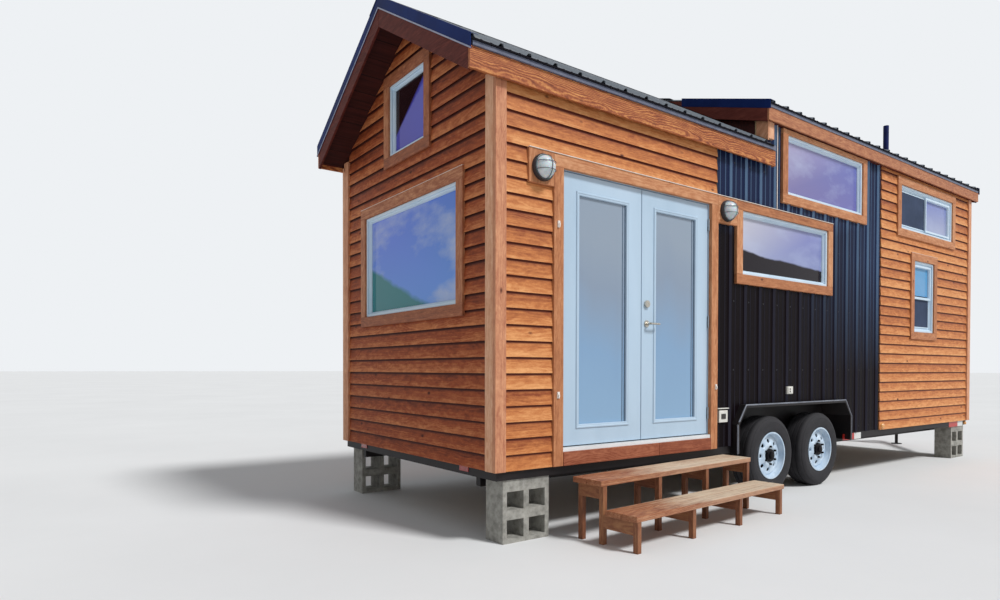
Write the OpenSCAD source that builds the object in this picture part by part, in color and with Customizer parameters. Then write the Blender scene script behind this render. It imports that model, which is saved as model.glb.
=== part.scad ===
// Tiny house on wheels: a gabled room with double doors and a taller dormer end,
// clad in cedar lap siding and black ribbed metal, on a tandem-axle trailer with two loose steps.
// Millimetres. +X runs along the house to the hitch, +Z is up, and the door side faces -Y.
// The origin lies on the ground under the middle of the whole object.

/* [House body] */
// Length of the framed house from wall to wall
house_l = 7890; // [7700:10:8300]
// Width of the framed house from wall to wall
house_w = 2440; // [2360:20:2500]
// Height of the bottom of the walls above the ground
sill_h = 600; // [590:5:640]
// Height of the long walls under the steep roof
wall_h = 2520; // [2510:5:2560]
// Thickness of a framed wall with its linings
wall_t = 115; // [100:5:130]
// Thickness of the floor below the top of the frame
floor_t = 95; // [80:5:110]
// Thickness of the finished floor boards
floor_board_t = 15; // [10:1:18]
// Length of the sleeping loft floor from the hitch end wall
loft_l = 2480; // [2300:20:2500]
// Height of the top of the loft floor above the bottom of the walls
loft_h = 2100; // [2080:5:2120]
// Thickness of the loft floor
loft_t = 110; // [80:5:120]

/* [Roof] */
// Pitch of the steep roof in degrees
steep_pitch = 32; // [31:0.5:33]
// Pitch of the dormer roof in degrees
dormer_pitch = 18.3; // [17.5:0.1:19]
// Thickness of the rafters and decking, square to the slope
deck_t = 140; // [130:5:150]
// Distance from the gable wall to the dormer's end wall
dormer_x = 3081; // [3075:1:3120]
// Overhang of the dormer's decking past its end wall
dormer_out = 44; // [40:1:50]
// Overhang of the decking past the long walls
eave_out = 50; // [40:5:60]
// Overhang of the decking past the gable wall
gable_out = 240; // [200:5:280]
// Overhang of the decking past the hitch end wall
hitch_out = 130; // [60:5:150]
// Width of a fascia board
fascia_h = 140; // [130:5:150]
// Thickness of a fascia board and of a rake board
fascia_t = 19; // [18:1:22]
// Thickness of the ridge beam between the two slopes
ridge_beam_t = 40; // [38:2:60]

/* [Ribbed metal] */
// Distance between the high ribs of a metal sheet
rib_pitch = 228.6; // [225:0.1:235]
// Distance from the gable wall to the steep roof's rib nearest its corner
steep_rib_x = -29; // [-60:1:60]
// Distance from the gable wall to the dormer roof's first high rib
dormer_rib_x = 3301; // [3290:1:3400]
// Distance from the gable wall to the wall panel's first high rib
wall_rib_x = 2545; // [2400:1:2560]
// Height of a high rib
rib_h = 19; // [15:1:22]
// Width of a high rib at its foot
rib_foot = 46; // [40:1:50]
// Width of a high rib at its top
rib_top = 22; // [16:1:26]
// Height of a low rib
low_rib_h = 4; // [3:0.5:5]
// Width of a low rib at its foot
low_rib_foot = 24; // [18:1:28]
// Thickness of the sheet, heavier than the real one so that it shows
sheet_t = 2; // [1.5:0.5:3]
// End of the metal wall panel, measured from the gable wall
panel_end = 5347; // [5300:1:5500]

/* [Lap siding and trim] */
// Height of a siding board that shows
lap = 109; // [100:1:125]
// Thickness of a siding board at its lower edge
lap_butt = 20; // [16:1:22]
// Thickness of a siding board where the next one covers it
lap_thin = 8; // [6:1:10]
// Width of a trim board
trim_w = 89; // [80:1:95]
// Thickness of a trim board
trim_t = 32; // [28:1:38]
// Gap that is left between boards where they meet
board_gap = 0.5; // [0.3:0.1:1]

/* [Double doors] */
// Distance from the gable wall to the clear opening of the doors
door_x = 566; // [560:1:580]
// Width of one door leaf
leaf_w = 822; // [815:1:826]
// Height of a door leaf
leaf_h = 1950; // [1930:1:1955]
// Thickness of a door leaf
leaf_t = 44; // [38:1:46]
// Depth of a leaf's face behind the face of the wall
leaf_set = 4; // [3:1:12]
// Gap between a leaf and the frame
leaf_gap = 6; // [6:0.5:8]
// Gap between the two leaves
meeting_gap = 7; // [7:0.5:9]
// Thickness of the door frame
jamb_t = 25; // [19:1:30]
// Width of the wooden stile beside a door's glazing
stile_w = 166; // [155:1:180]
// Height of the rail under a door's glazing
bottom_rail = 150; // [150:5:200]
// Height of the rail over a door's glazing
top_rail = 150; // [130:5:170]
// Height of the lever above the bottom of its leaf
lever_h = 907; // [880:1:950]

/* [Windows] */
// Width of a long window
window_w = 1480; // [1460:10:1500]
// Height of a tall long window
window_h = 566; // [540:10:570]
// Height of the loft slider
slider_h = 510; // [490:5:515]
// Distance from the gable wall to the left edge of the lower long window
low_window_x = 2684; // [2680:1:2690]
// Height of the lower long window above the bottom of the walls
low_window_z = 1424; // [1410:1:1426]
// Distance from the gable wall to the left edge of the dormer window
dormer_window_x = 3407; // [3395:1:3460]
// Height of the dormer window above the bottom of the walls
dormer_window_z = 2248; // [2242:1:2255]
// Distance from the gable wall to the left edge of the loft slider
slider_x = 5819; // [5790:1:5880]
// Height of the loft slider above the bottom of the walls
slider_z = 2233; // [2230:1:2240]
// Width of the bathroom window
bath_window_w = 560; // [560:10:620]
// Height of the bathroom window
bath_window_h = 860; // [840:10:880]
// Distance from the gable wall to the left edge of the bathroom window
bath_window_x = 6188; // [6140:1:6280]
// Height of the bathroom window above the bottom of the walls
bath_window_z = 1031; // [1020:1:1035]
// Width of the gable window
gable_window_w = 1515; // [1460:5:1530]
// Height of the gable window
gable_window_h = 872; // [860:2:900]
// Height of the gable window above the bottom of the walls
gable_window_z = 1035; // [1020:5:1050]
// Width of the small loft window in the gable
loft_window_w = 590; // [560:10:600]
// Height of the small loft window in the gable
loft_window_h = 586; // [570:2:590]
// Height of the small loft window above the bottom of the walls
loft_window_z = 2342; // [2320:2:2350]
// Distance that the two gable windows lie off the middle towards the door side
gable_window_off = 6; // [0:2:60]
// Width of a window's frame bar
sash_w = 42; // [38:1:50]
// Depth of a window's frame
sash_t = 75; // [60:1:80]
// Thickness of a sealed glass unit
glass_t = 18; // [12:1:20]
// Distance that a window's frame stands out of the wall
sash_out = 14; // [10:1:20]

/* [Trailer] */
// Distance from the gable wall to the middle between the two axles
axle_mid = 3584; // [3540:2:3600]
// Distance between the two axles
axle_gap = 864; // [850:2:880]
// Radius of a tyre
tyre_r = 368; // [360:1:370]
// Width of a tyre
tyre_w = 225; // [205:5:235]
// Radius of a wheel's outer flange
rim_r = 220; // [215:1:225]
// Distance that a tyre's outer side stands out of the house wall
tyre_out = 45; // [40:1:48]
// Radius of the hole in a wheel's disc
hub_bore_r = 60; // [56:1:64]
// Number of round holes in a wheel's disc
hand_holes = 8; // [6:1:10]
// Height of a frame rail
rail_h = 170; // [150:5:180]
// Width of a frame rail
rail_w = 50; // [45:1:60]
// Length of the drawbar from the front of the frame to the coupler
drawbar_l = 1150; // [1000:10:1300]
// Thickness of the fender plate
plate_t = 5; // [4:1:6]
// Distance that a fender stands out of the house wall
fender_out = 70; // [60:1:75]
// Height of a fender's top above the bottom of the walls
fender_rise = 258; // [250:1:264]

/* [Steps] */
// Length of a step
step_l = 1884; // [1600:2:1900]
// Depth of a step
step_d = 262; // [250:2:280]
// Distance from one step's front edge to the next one's
step_run = 288; // [286:1:300]
// Rise of a step
step_rise = 190; // [180:1:200]
// Height of the upper step above the ground
step_top = 430; // [415:1:440]
// Thickness of a step's planks
plank_t = 38; // [35:1:40]
// Distance from the gable wall to the upper step's corner at the wheels
step_x = 2440; // [2380:2:2460]
// Distance that the lower step is shifted towards the wheels
step_shift = 10; // [0:1:40]
// Gap between the steps and the house
step_gap = 8; // [8:1:30]
// Turn of the loose steps against the house in degrees
step_turn = 3.7; // [0:0.1:4]

/* [Hidden] */
// Round corners and rings of the small pieces
$fn = 48;
eps = 0.01;
// Roof lines, worked out from the wall height and the two pitches
half_w = house_w / 2;
deck_v = deck_t / cos(steep_pitch);
dormer_deck_v = deck_t / cos(dormer_pitch);
ridge_z = sill_h + wall_h + half_w * tan(steep_pitch) + deck_v;
wall_top = sill_h + wall_h;
dormer_top = ridge_z - half_w * tan(dormer_pitch) - dormer_deck_v;
dormer_peak = ridge_z - dormer_deck_v;
steep_peak = ridge_z - deck_v;
roof_x0 = -gable_out;
roof_x1 = house_l + hitch_out;
roof_rise = 6;
eave_y = -eave_out;
// Doorway
opening_w = 2 * leaf_w + 2 * leaf_gap + meeting_gap;
door_z = sill_h + 24;
threshold_z = sill_h + 16;
head_z = door_z + leaf_h + leaf_gap;
reveal = 8;
trim_in = door_x - reveal;
trim_out = door_x + opening_w + reveal;
panel_x = trim_out + trim_w + 1;
trim_bottom = sill_h - 110;
skirt_z = sill_h - lap;
panel_z = sill_h - 105;
sill_board_top = sill_h - 12;
flashing_z = head_z - leaf_gap + reveal + trim_w;
lite_w = 30;
lite_out = 8;
stop_w = 12;
stop_gap = 5;
pin_out = 11;
// Windows of the door side: left edge, bottom, width, height
low_window = [low_window_x, sill_h + low_window_z, window_w, window_h];
dormer_window = [dormer_window_x, sill_h + dormer_window_z, window_w, window_h];
slider_window = [slider_x, sill_h + slider_z, window_w, slider_h];
bath_window = [bath_window_x, sill_h + bath_window_z, bath_window_w, bath_window_h];
// Windows of the gable wall: edge nearest the door side, bottom, width, height
gable_mid = half_w - gable_window_off;
gable_window = [gable_mid - gable_window_w / 2, sill_h + gable_window_z, gable_window_w, gable_window_h];
loft_window = [gable_mid - loft_window_w / 2, sill_h + loft_window_z, loft_window_w, loft_window_h];
// Windows of the back: the same three products over the same storeys
back_low = [low_window_x, sill_h + low_window_z, window_w, window_h];
back_slider = [slider_x, sill_h + slider_z, window_w, slider_h];
door_side_windows = [low_window, dormer_window, slider_window, bath_window];
gable_windows = [gable_window, loft_window];
back_windows = [back_low, back_slider];
// Wheels and fenders
axle_x = [axle_mid - axle_gap / 2, axle_mid + axle_gap / 2];
fender_half = 1015;
fender_slope = 125;
fender_knee = 86;
fender_drop = 170;
wheel_side = tyre_w - tyre_out;
fender_in = wheel_side + 60;
hub_clear = 0.1;
floor_bottom = sill_h - floor_t;
beam_y = fender_in + 20;
beam_bottom = floor_bottom - 150;
axle_r = 38;
spindle_r = 22;
axle_drop = 110;
axle_z = tyre_r - axle_drop;
spring_w = 46;
spring_leaf = 8;
spring_sag = 26;
spring_half = axle_gap / 2 - 24;
hub_in = wheel_side - 30;
crank_in = hub_in + 60;
disc_z = 62;
hub_nose = 14;
drum_r = 150;
hand_hole_c = 128;
hand_hole_r = 17;
glass_set = 22;
// Blocks under the corners
block_l = 400;
block_d = 195;
packer_t = 50;
// Drawbar and coupler
drawbar_z = 380;
drawbar_h = 100;
jack_x = house_l + drawbar_l - 330;
coupler_top = 560;
ball_r = 30;
ball_depth = 48;
// Eaves
soffit_t = 12;
steep_soffit_z = sill_h + wall_h - eave_out * tan(steep_pitch) - soffit_t;
dormer_soffit_z = dormer_top - eave_out * tan(dormer_pitch) - soffit_t;
steep_fascia_z = steep_soffit_z - 26;
dormer_fascia_z = dormer_soffit_z - 6;
eave_end = dormer_x + 47;
corner_end = dormer_x + 83;
corner_foot = steep_z(-trim_t) + (rib_h + sheet_t) / cos(steep_pitch) + 24;
dormer_deck_x = dormer_x - dormer_out;
dormer_rake_x = dormer_deck_x - fascia_t;
steep_rake_drop = deck_v + 47;
dormer_rake_drop = dormer_deck_v + 28;
edge_t = 4;
edge_w = 60;
seat = 0.1;
flashing_t = 5;
seam_x = 3228;
sheet_seat = 0.3;
sheet_y0 = eave_y - fascia_t - 14;
drip_y = eave_y - fascia_t - 6;
ridge_cap_w = 150;
// Covered sockets, with a cap over the first: left edge, bottom, width, height
outlet_out = 34;
outlet_boxes = [[panel_x + 34, sill_h + 112, 120, 104], [panel_x + 9, sill_h + 229, 155, 8],
    [panel_x + 1111, sill_h + 337, 97, 73]];
// Lights and vent
light_block_x = 245;
light_block_z = sill_h + 1838;
light_z = sill_h + 1947;
light_r = 95;
dome_r = 95;
vent_x = 6058;
vent_y = 256;
vent_r = 44;
vent_h = 428;
// Steps
plank_gap = 6;
post_t = 38;
post_in = 14;
post_back = 4;
bearer_h = 89;
rear_post = 30;
// Hinges
pin_x = -leaf_gap / 2;
hinge_plate = 2.5;
hinge_deep = 30;
hinge_h = 100;
hinge_run = 0.3;
hinge_z = [175, leaf_h / 2 - 20, leaf_h - 170];
knuckle_r = 6;
// Extremes of the whole object, from which the origin is set
coupler_r = 45;
hitch_x = house_l + drawbar_l;
coupler_end = hitch_x + 70;
rake_face = roof_x0 - fascia_t - 8;
step_front = -step_gap - (step_d + step_run) * cos(step_turn) - (step_l - step_shift) * sin(step_turn);
far_side = house_w + eave_out + fascia_t + 14 + (rib_h + sheet_t) * sin(steep_pitch);
mid_x = (rake_face + coupler_end) / 2;
mid_y = (step_front + far_side) / 2;

// Moves the house frame so that the origin is under the middle of the whole object
module placed() {
    translate([-mid_x, -mid_y, 0]) children();
}

// Copies a piece of the door side to the back of the house
module both_sides() {
    children();
    translate([0, house_w, 0]) mirror([0, 1, 0]) children();
}

// Box between two corners
module block(low, high) {
    translate(low) cube(high - low);
}

// Turns an outline drawn as (x, z) into a slab from y0 to y1
module wall_slab(y0, y1) {
    translate([0, y1, 0]) rotate([90, 0, 0]) linear_extrude(y1 - y0) children();
}

// Turns an outline drawn as (y, z) into a slab from x0 to x1
module end_slab(x0, x1) {
    translate([x0, 0, 0]) rotate([90, 0, 90]) linear_extrude(x1 - x0) children();
}

// Outline of an opening, grown by a margin on every side
module opening(w, grow = 0) {
    translate([w[0] - grow, w[1] - grow]) square([w[2] + 2 * grow, w[3] + 2 * grow]);
}

// Outline of the fender's arch, grown by a margin
module fender_outline(grow = 0, extra = 0) {
    a = fender_half + grow;
    b = fender_half - fender_slope + grow / 2;
    z0 = sill_h - fender_drop - extra;
    z1 = sill_h + fender_knee;
    z2 = sill_h + fender_rise + grow;
    polygon([[axle_mid - a, z0], [axle_mid - a, z1], [axle_mid - b, z2], [axle_mid + b, z2],
        [axle_mid + a, z1], [axle_mid + a, z0]]);
}

// Outline of the cross-section under the steep roof, with straight sides of height z1
module gable_outline(z0, z1, peak) {
    polygon([[0, z0], [house_w, z0], [house_w, z1], [half_w, peak], [0, z1]]);
}

// Everything that lies under the roof's decking, as one solid
module under_roof() {
    z0 = sill_h - fender_drop;
    end_slab(0, dormer_x) gable_outline(z0, wall_top - seat, steep_peak - seat);
    end_slab(dormer_x, house_l) gable_outline(z0, dormer_top - seat, dormer_peak - seat);
}

// Everything over the underside of the dormer's decking, from the line x on, with a gap under it
module over_dormer(x, gap) {
    z = dormer_z(-300) - dormer_deck_v - gap;
    end_slab(x, house_l) polygon([[-300, z], [half_w, dormer_peak - gap], [house_w + 300, z],
        [house_w + 300, ridge_z + 300], [-300, ridge_z + 300]]);
}

// Height of the top of the steep decking over a line y from the door side
function steep_z(y) = ridge_z - (half_w - y) * tan(steep_pitch);

// Height of the top of the dormer's decking over a line y from the door side
function dormer_z(y) = ridge_z - (half_w - y) * tan(dormer_pitch);

// The points of one rib across a sheet
function rib_points(x, foot, top, h, t) =
    [[x - foot / 2, t], [x - top / 2, h + t], [x + top / 2, h + t], [x + foot / 2, t]];

// The points along one face of a ribbed sheet, from x0 to x1
function sheet_face(x0, x1, first, t) = [
    [x0, t],
    for (k = [floor((x0 - first) / rib_pitch) : ceil((x1 - first) / rib_pitch)])
        for (j = [0 : 2])
            let (x = first + (k + j / 3) * rib_pitch, foot = j == 0 ? rib_foot : low_rib_foot)
                if (x - foot / 2 > x0 + 1 && x + foot / 2 < x1 - 1)
                    each (j == 0 ? rib_points(x, foot, rib_top, rib_h, t)
                        : rib_points(x, foot, low_rib_foot / 2, low_rib_h, t)),
    [x1, t]
];

// Cross-section of a ribbed sheet, with its high ribs at first, first + rib_pitch and so on
module sheet_outline(x0, x1, first) {
    under = sheet_face(x0, x1, first, 0);
    polygon(concat(sheet_face(x0, x1, first, sheet_t), [for (i = [len(under) - 1 : -1 : 0]) under[i]]));
}

// Ribbed sheet laid on the door side's slope, from the line y0 up to the line y1
module roof_sheet(x0, x1, first, pitch, y0, y1) {
    translate([0, y0, ridge_z + sheet_seat - (half_w - y0) * tan(pitch)])
        rotate([pitch - 90, 0, 0])
            linear_extrude((y1 - y0) / cos(pitch))
                mirror([0, 1]) sheet_outline(x0, x1, first);
}

// Outline of lapped boards seen from the end, as (depth, height), with the butts standing out
module lap_outline(z0, z1) {
    n = ceil((z1 - z0) / lap);
    polygon([
        [0, z0],
        for (i = [0 : n - 1]) each [[-lap_butt, z0 + i * lap], [-lap_thin, z0 + (i + 1) * lap]],
        [0, z0 + n * lap]
    ]);
}

// Four boards round a window of a long wall, with a top board of its own height
module window_trim(w, top = trim_w) {
    x0 = w[0] - trim_w;
    x1 = w[0] + w[2] + trim_w;
    z1 = w[1] + w[3];
    block([x0, -trim_t, w[1] - trim_w], [x1, 0, w[1] - board_gap]);
    block([x0, -trim_t, z1 + board_gap], [x1, 0, z1 + top]);
    block([x0, -trim_t, w[1]], [w[0], 0, z1]);
    block([w[0] + w[2], -trim_t, w[1]], [x1, 0, z1]);
}

// Straight bars of a window's frame, with any bars between its lights
module window_frame(w, mullions = [], rails = []) {
    x1 = w[0] + w[2];
    z1 = w[1] + w[3];
    y0 = -sash_out;
    y1 = sash_t - sash_out;
    block([w[0], y0, w[1]], [x1, y1, w[1] + sash_w]);
    block([w[0], y0, z1 - sash_w], [x1, y1, z1]);
    for (x = [w[0], x1 - sash_w])
        block([x, y0, w[1] + sash_w + board_gap], [x + sash_w, y1, z1 - sash_w - board_gap]);
    for (x = mullions)
        block([x - sash_w / 2, y0 + 10, w[1] + sash_w + board_gap],
            [x + sash_w / 2, y1 - 10, z1 - sash_w - board_gap]);
    for (z = rails)
        block([w[0] + sash_w + board_gap, y0 + 10, z - sash_w / 2],
            [x1 - sash_w - board_gap, y1 - 10, z + sash_w / 2]);
}

// Sealed glass units of a window, one in each light
module window_panes(w, mullions = [], rails = []) {
    xs = concat([w[0] + sash_w / 2], mullions, [w[0] + w[2] - sash_w / 2]);
    zs = concat([w[1] + sash_w / 2], rails, [w[1] + w[3] - sash_w / 2]);
    y0 = glass_set;
    for (i = [0 : len(xs) - 2]) for (j = [0 : len(zs) - 2])
        block([xs[i] + sash_w / 2 + board_gap, y0, zs[j] + sash_w / 2 + board_gap],
            [xs[i + 1] - sash_w / 2 - board_gap, y0 + glass_t, zs[j + 1] - sash_w / 2 - board_gap]);
}

// Turns a piece drawn for the door side onto the gable wall, where x becomes y
module on_gable() {
    multmatrix([[0, 1, 0, 0], [1, 0, 0, 0], [0, 0, 1, 0]]) children();
}

// Long rails under the house: two main beams, and side rails that stop at the fenders
module trailer_rails() {
    color([0.06, 0.06, 0.07]) placed() both_sides() {
        block([rail_w, beam_y, beam_bottom], [house_l - rail_w, beam_y + rail_w, floor_bottom]);
        for (r = [[rail_w, axle_mid - fender_half], [axle_mid + fender_half, house_l - rail_w]])
            block([r[0], 0, sill_h - rail_h], [r[1], rail_w, sill_h]);
    }
}

// Beams across the trailer: one at each end, and the ones that carry the floor
module cross_members() {
    n = 9;
    step = (house_l - rail_w) / (n - 1);
    inner = beam_y + rail_w;
    color([0.06, 0.06, 0.07]) placed() {
        for (x = [0, house_l - rail_w])
            block([x, 0, sill_h - rail_h], [x + rail_w, house_w, sill_h]);
        for (i = [1 : n - 2])
            block([i * step, inner, sill_h - rail_h], [i * step + rail_w, house_w - inner, floor_bottom]);
        both_sides() for (i = [1 : n - 2])
            if (abs(i * step + rail_w / 2 - axle_mid) > fender_half + rail_w)
                block([i * step, rail_w, sill_h - rail_h], [i * step + rail_w, beam_y, floor_bottom]);
    }
}

// Two beams that close from the main beams to the hitch
module drawbar() {
    tip = coupler_r + 5;
    color([0.06, 0.06, 0.07]) placed() both_sides()
        translate([0, 0, drawbar_z]) linear_extrude(drawbar_h)
            polygon([[house_l, beam_y], [house_l, beam_y + rail_w + 15],
                [hitch_x - 60, half_w - board_gap], [hitch_x - coupler_r + 20, half_w - board_gap],
                [hitch_x - coupler_r + 20, half_w - tip]]);
}

// Ball coupler with a round socket open below
module coupler() {
    color([0.15, 0.15, 0.16]) placed() difference() {
        union() {
            block([hitch_x - 220, half_w - 38, drawbar_z + drawbar_h], [hitch_x, half_w + 38, coupler_top]);
            translate([hitch_x + 25, half_w, drawbar_z + 40])
                cylinder(r = coupler_r, h = coupler_top - drawbar_z - 40);
            block([hitch_x, half_w - 38, drawbar_z + 60], [hitch_x + 25, half_w + 38, coupler_top]);
        }
        translate([hitch_x + 25, half_w, drawbar_z]) cylinder(r = ball_r, h = 40 + ball_depth);
    }
}

// Screw jack of the drawbar: a tube on a round foot, with a crank on top
module tongue_jack() {
    color([0.07, 0.07, 0.08]) placed() translate([jack_x, half_w, 0]) {
        translate([-70, -190, drawbar_z + drawbar_h]) cube([140, 380, 10]);
        cylinder(r = 75, h = 10);
        translate([0, 0, 10]) cylinder(r = 22, h = 190);
        translate([0, 0, 200]) cylinder(r = 30, h = 620);
        translate([0, 0, 820]) cylinder(r = 36, h = 40);
        translate([0, 0, 840]) rotate([90, 0, 0]) cylinder(r = 9, h = 190);
        translate([0, -180, 840]) cylinder(r = 9, h = 110);
    }
}

// Two dropped axles: a low tube, a crank at each end and the spindle that the wheel turns on
module axles() {
    color([0.08, 0.08, 0.09]) placed() for (x = axle_x) translate([x, 0, 0]) {
        translate([0, crank_in, axle_z]) rotate([-90, 0, 0]) cylinder(r = axle_r, h = house_w - 2 * crank_in);
        both_sides() {
            block([-axle_r, hub_in + 6, axle_z - axle_r], [axle_r, crank_in, tyre_r + axle_r]);
            translate([0, 30 - tyre_out, tyre_r]) rotate([-90, 0, 0])
                cylinder(r = spindle_r, h = hub_in + tyre_out - 20);
        }
    }
}

// One leaf of a spring, n twelfths of the whole long: a shallow arc, high at both ends, as (x, z)
module leaf_outline(n, low, t) {
    xs = [for (i = [-n : n]) spring_half * i / 6];
    zs = [for (i = [-n : n]) low + spring_sag * pow(i / 6, 2)];
    polygon(concat([for (i = [0 : 2 * n]) [xs[i], zs[i]]], [for (i = [2 * n : -1 : 0]) [xs[i], zs[i] + t]]));
}

// Leaf springs between the axles and the main beams, with the hangers that hold their ends
module springs() {
    low = axle_z + axle_r;
    color([0.07, 0.07, 0.08]) placed() both_sides() {
        for (x = axle_x) translate([x, 0, 0]) wall_slab(beam_y + 2, beam_y + 2 + spring_w)
            for (i = [0 : 2]) leaf_outline(6 - 2 * i, low + spring_leaf * (2 - i), spring_leaf);
        for (x = [axle_x[0] - spring_half, axle_mid, axle_x[1] + spring_half])
            block([x - 24, beam_y + 2, beam_bottom - 34], [x + 24, beam_y + 2 + spring_w, beam_bottom]);
    }
}

// Sheet-metal fender and wheel box of one side
module fender() {
    lip = 28;
    difference() {
        wall_slab(-fender_out, fender_in) fender_outline();
        wall_slab(-fender_out + plate_t, fender_in - plate_t) fender_outline(-plate_t, 1);
        wall_slab(-fender_out - 1, 0) fender_outline(-lip, 1);
    }
}

module fenders() {
    color([0.05, 0.05, 0.06]) placed() both_sides() fender();
}

// Trailer tyre with rounded shoulders, on an axis along +Z, with its outer side at z = 0
module tyre() {
    s = 30;
    color([0.03, 0.03, 0.035]) rotate_extrude($fn = 96) difference() {
        union() {
            translate([rim_r - 6, 14]) square([tyre_r - rim_r + 6 - s, tyre_w - 28]);
            translate([tyre_r - s - eps, s]) square([s + eps, tyre_w - 2 * s]);
            for (z = [s, tyre_w - s]) translate([tyre_r - s, z]) circle(r = s);
        }
        translate([0, 26]) square([rim_r + 4, tyre_w - 52]);
    }
}

// Steel wheel with a disc, round hand holes and the hub that turns with it
module wheel() {
    color([0.86, 0.88, 0.9]) difference() {
        union() {
            rotate_extrude($fn = 96) {
                translate([rim_r - 14, 6]) square([8, tyre_w - 12]);
                translate([rim_r - 14, 4]) square([14, 8]);
                translate([rim_r - 14, tyre_w - 12]) square([14, 8]);
                translate([hub_bore_r - 2, disc_z]) square([rim_r - hub_bore_r - 5, 9]);
            }
            translate([0, 0, hub_nose]) cylinder(r = hub_bore_r, h = hub_in + tyre_out - hub_nose);
            translate([0, 0, disc_z + 9]) cylinder(r = drum_r, h = hub_in + tyre_out - disc_z - 9);
        }
        for (i = [0 : hand_holes - 1])
            rotate(360 / hand_holes * i) translate([hand_hole_c, 0, 0])
                cylinder(r = hand_hole_r, h = disc_z + 9 + eps);
        translate([0, 0, 20]) cylinder(r = spindle_r + hub_clear, h = tyre_w * 2);
    }
}

// Puts a wheel's piece at one of the four corners: along the trailer, and on the door side or the back
module at_wheel(x, back) {
    placed() translate([x, back ? house_w + tyre_out : -tyre_out, tyre_r])
        rotate([back ? 90 : -90, 0, 0]) children();
}

module tyre_rear_left() {
    at_wheel(axle_x[0], false) tyre();
}

module tyre_rear_right() {
    at_wheel(axle_x[0], true) tyre();
}

module tyre_front_left() {
    at_wheel(axle_x[1], false) tyre();
}

module tyre_front_right() {
    at_wheel(axle_x[1], true) tyre();
}

module wheel_rear_left() {
    at_wheel(axle_x[0], false) wheel();
}

module wheel_rear_right() {
    at_wheel(axle_x[0], true) wheel();
}

module wheel_front_left() {
    at_wheel(axle_x[1], false) wheel();
}

module wheel_front_right() {
    at_wheel(axle_x[1], true) wheel();
}

// Stacks of hollow concrete blocks with a timber packer, under the four corners
module support_blocks() {
    h = (sill_h - rail_h - packer_t) / 2;
    color([0.6, 0.59, 0.56]) placed() both_sides() for (x = [60, house_l - 460]) translate([x, 10, 0])
        difference() {
            cube([block_l, block_d, sill_h - rail_h]);
            for (i = [0, 1]) for (z = [0, h])
                translate([35 + i * (block_l / 2 - 12), -1, z + 32])
                    cube([block_l / 2 - 58, block_d + 2, h - 64]);
        }
}

// Floor: insulated deck between the rails, with boards inside the walls
module floor() {
    color([0.62, 0.5, 0.36]) placed() difference() {
        union() {
            block([rail_w, rail_w, floor_bottom], [house_l - rail_w, house_w - rail_w, sill_h]);
            block([wall_t, wall_t, sill_h], [house_l - wall_t, house_w - wall_t, sill_h + floor_board_t]);
        }
        both_sides() block([axle_mid - fender_half, 0, floor_bottom - 1],
            [axle_mid + fender_half, fender_in, sill_h + floor_board_t + 1]);
    }
}

// Gable wall with the big window and the small loft window
module gable_wall() {
    color([0.8, 0.72, 0.58]) placed() difference() {
        end_slab(0, wall_t) gable_outline(sill_h, wall_top - seat, steep_peak - seat);
        for (w = gable_windows) end_slab(-1, wall_t + 1) opening(w);
    }
}

// Plain end wall over the hitch
module hitch_end_wall() {
    color([0.8, 0.72, 0.58]) placed() difference() {
        end_slab(house_l - wall_t, house_l) gable_outline(sill_h, dormer_top - seat, dormer_peak - seat);
        beam_space();
    }
}

// Stretch of the door side's wall, cut by the roof
module long_wall(x0, x1, z0) {
    intersection() {
        block([x0, 0, z0], [x1, wall_t, ridge_z]);
        under_roof();
    }
}

// Door side wall between the corner and the doors
module door_wall_corner() {
    color([0.8, 0.72, 0.58]) placed() long_wall(wall_t, door_x - jamb_t, sill_h);
}

// Door side wall over the doors
module door_wall_head() {
    color([0.8, 0.72, 0.58]) placed()
        long_wall(door_x - jamb_t, door_x + opening_w + jamb_t, head_z + jamb_t);
}

// Door side wall from the doors to the hitch end
module door_wall_main() {
    color([0.8, 0.72, 0.58]) placed() difference() {
        long_wall(door_x + opening_w + jamb_t, house_l - wall_t, sill_h);
        for (w = door_side_windows) wall_slab(-1, wall_t + 1) opening(w);
        wall_slab(-1, wall_t + 1) fender_outline(0, 1);
    }
}

// Back wall, with its windows over the same storeys
module back_wall() {
    color([0.8, 0.72, 0.58]) placed() translate([0, house_w, 0]) mirror([0, 1, 0]) difference() {
        long_wall(wall_t, house_l - wall_t, sill_h);
        for (w = back_windows) wall_slab(-1, wall_t + 1) opening(w);
        wall_slab(-1, wall_t + 1) fender_outline(0, 1);
    }
}

// Wedge walls that close the dormers over the steep roof
module dormer_cheeks() {
    d = (dormer_peak - steep_peak) / (tan(steep_pitch) - tan(dormer_pitch));
    s = steep_z(wall_t) - deck_v;
    t = dormer_z(wall_t) - dormer_deck_v;
    color([0.1, 0.1, 0.11]) placed() both_sides() end_slab(dormer_x, dormer_x + wall_t)
        polygon([[wall_t, s], [half_w - d, steep_z(half_w - d) - deck_v], [wall_t, t]]);
}

// Floor of the sleeping loft at the hitch end
module loft_floor() {
    color([0.72, 0.56, 0.38]) placed()
        block([house_l - wall_t - loft_l, wall_t, sill_h + loft_h - loft_t],
            [house_l - wall_t, house_w - wall_t, sill_h + loft_h]);
}

// Space that the ridge beam passes through in the hitch end wall and its siding
module beam_space() {
    block([house_l - wall_t - 1, half_w - ridge_beam_t / 2, steep_peak],
        [house_l + lap_butt + 1, half_w + ridge_beam_t / 2, ridge_z]);
}

// Beam along the ridge
module ridge_beam() {
    color([0.7, 0.5, 0.3]) placed()
        block([roof_x0, half_w - ridge_beam_t / 2, steep_peak],
            [roof_x1, half_w + ridge_beam_t / 2, steep_z(half_w - ridge_beam_t / 2)]);
}

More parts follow.
